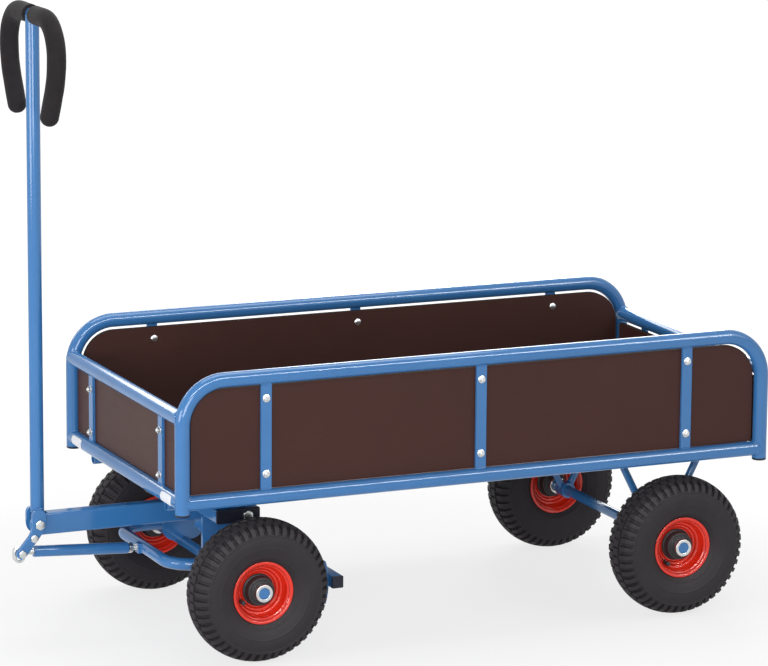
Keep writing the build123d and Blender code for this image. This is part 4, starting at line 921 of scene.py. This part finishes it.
def studio():
    """White surroundings for the camera and reflections, moderate light from all round, and soft boxes."""
    scene.view_settings.view_transform = "Standard"
    world = bpy.data.worlds.new("studio")
    scene.world = world
    world.use_nodes = True
    tree = world.node_tree
    tree.nodes.clear()
    ambient = node(tree, "Background", {"Strength": AMBIENT, "Color": linear("#ffffff")})
    backdrop = node(tree, "Background", {"Strength": 1.0, "Color": linear("#ffffff")})
    mix = node(tree, "MixShader", {0: seen_directly(tree), 1: ambient.outputs[0], 2: backdrop.outputs[0]})
    node(tree, "OutputWorld", {"Surface": mix.outputs[0]})

    for name, (place, size, power) in {**SOFT_BOXES, **STRIPS}.items():
        box = bpy.data.lights.new(name, "AREA")
        box.shape = "RECTANGLE"
        box.size, box.size_y = size
        box.energy = power
        lamp = bpy.data.objects.new(name, box)
        lamp.matrix_world = placed(place, *square_to(np.subtract(place, AIM)))
        lamp.visible_camera = False
        lamp.visible_diffuse = name in SOFT_BOXES
        scene.collection.objects.link(lamp)


def floor():
    """Pale studio floor, brightened a little where it is seen, so that only the shadows show."""
    material = bpy.data.materials.new("pale_floor")
    material.use_nodes = True
    tree = material.node_tree
    tree.nodes.clear()
    seen = seen_directly(tree)
    share = node(tree, "Mix", {0: seen, 2: FLOOR_SHEET, 3: FLOOR_SHEET * FLOOR_SHADE}).outputs[0]
    sheet = node(tree, "BsdfDiffuse", {"Color": share})
    away = node(tree, "VectorMath", {0: node(tree, "TexCoord").outputs["Object"]}, operation="LENGTH")
    level = node(tree, "MapRange", {
        "Value": away.outputs["Value"], "From Min": FLOOR_NEAR[0], "From Max": FLOOR_NEAR[1],
        "To Min": FLOOR_GLOW[0], "To Max": FLOOR_GLOW[1]
    }).outputs["Result"]
    level = node(tree, "Math", {0: seen, 1: level}, operation="MULTIPLY")
    glow = node(tree, "Emission", {"Strength": level.outputs[0]})
    both = node(tree, "AddShader", {0: sheet.outputs[0], 1: glow.outputs[0]})
    node(tree, "OutputMaterial", {"Surface": both.outputs[0]})
    mesh = bpy.data.meshes.new("studio_floor")
    h = FLOOR_HALF
    mesh.from_pydata([(-h, -h, 0), (h, -h, 0), (h, h, 0), (-h, h, 0)], [], [(0, 1, 2, 3)])
    mesh.materials.append(material)
    made = bpy.data.objects.new("studio_floor", mesh)
    scene.collection.objects.link(made)


def camera():
    """Camera of the photograph, its optical axis off the middle of the picture."""
    yaw, pitch, roll = np.radians((CAMERA_YAW, CAMERA_PITCH, CAMERA_ROLL))
    ahead = np.array([np.cos(yaw) * np.cos(pitch), np.sin(yaw) * np.cos(pitch), np.sin(pitch)])
    right = np.cross(ahead, (0, 0, 1))
    right /= np.linalg.norm(right)
    up = np.cross(right, ahead)
    right, up = right * np.cos(roll) + up * np.sin(roll), up * np.cos(roll) - right * np.sin(roll)
    data = bpy.data.cameras.new("camera")
    data.sensor_width = SENSOR
    data.lens = FOCAL_PX / IMAGE[0] * SENSOR
    data.shift_x = (IMAGE[0] / 2 - OPTICAL_AXIS[0]) / IMAGE[0]
    data.shift_y = (OPTICAL_AXIS[1] - IMAGE[1] / 2) / IMAGE[0]
    made = bpy.data.objects.new("camera", data)
    made.matrix_world = placed(CAMERA_AT, right, up, -ahead)
    scene.collection.objects.link(made)
    scene.camera = made


dress_cad()
for wheel_name in WHEELS:
    wheel(wheel_name)
grip("left", 1)
grip("right", -1)
bed_welds()
gear_welds()
panel_fasteners()
gear_fasteners()
brake_rod()
lever_plates()
bolster_caps()
set_collars("front", "bogie")
set_collars("rear", "bed")
patches()
studio()
floor()
camera()
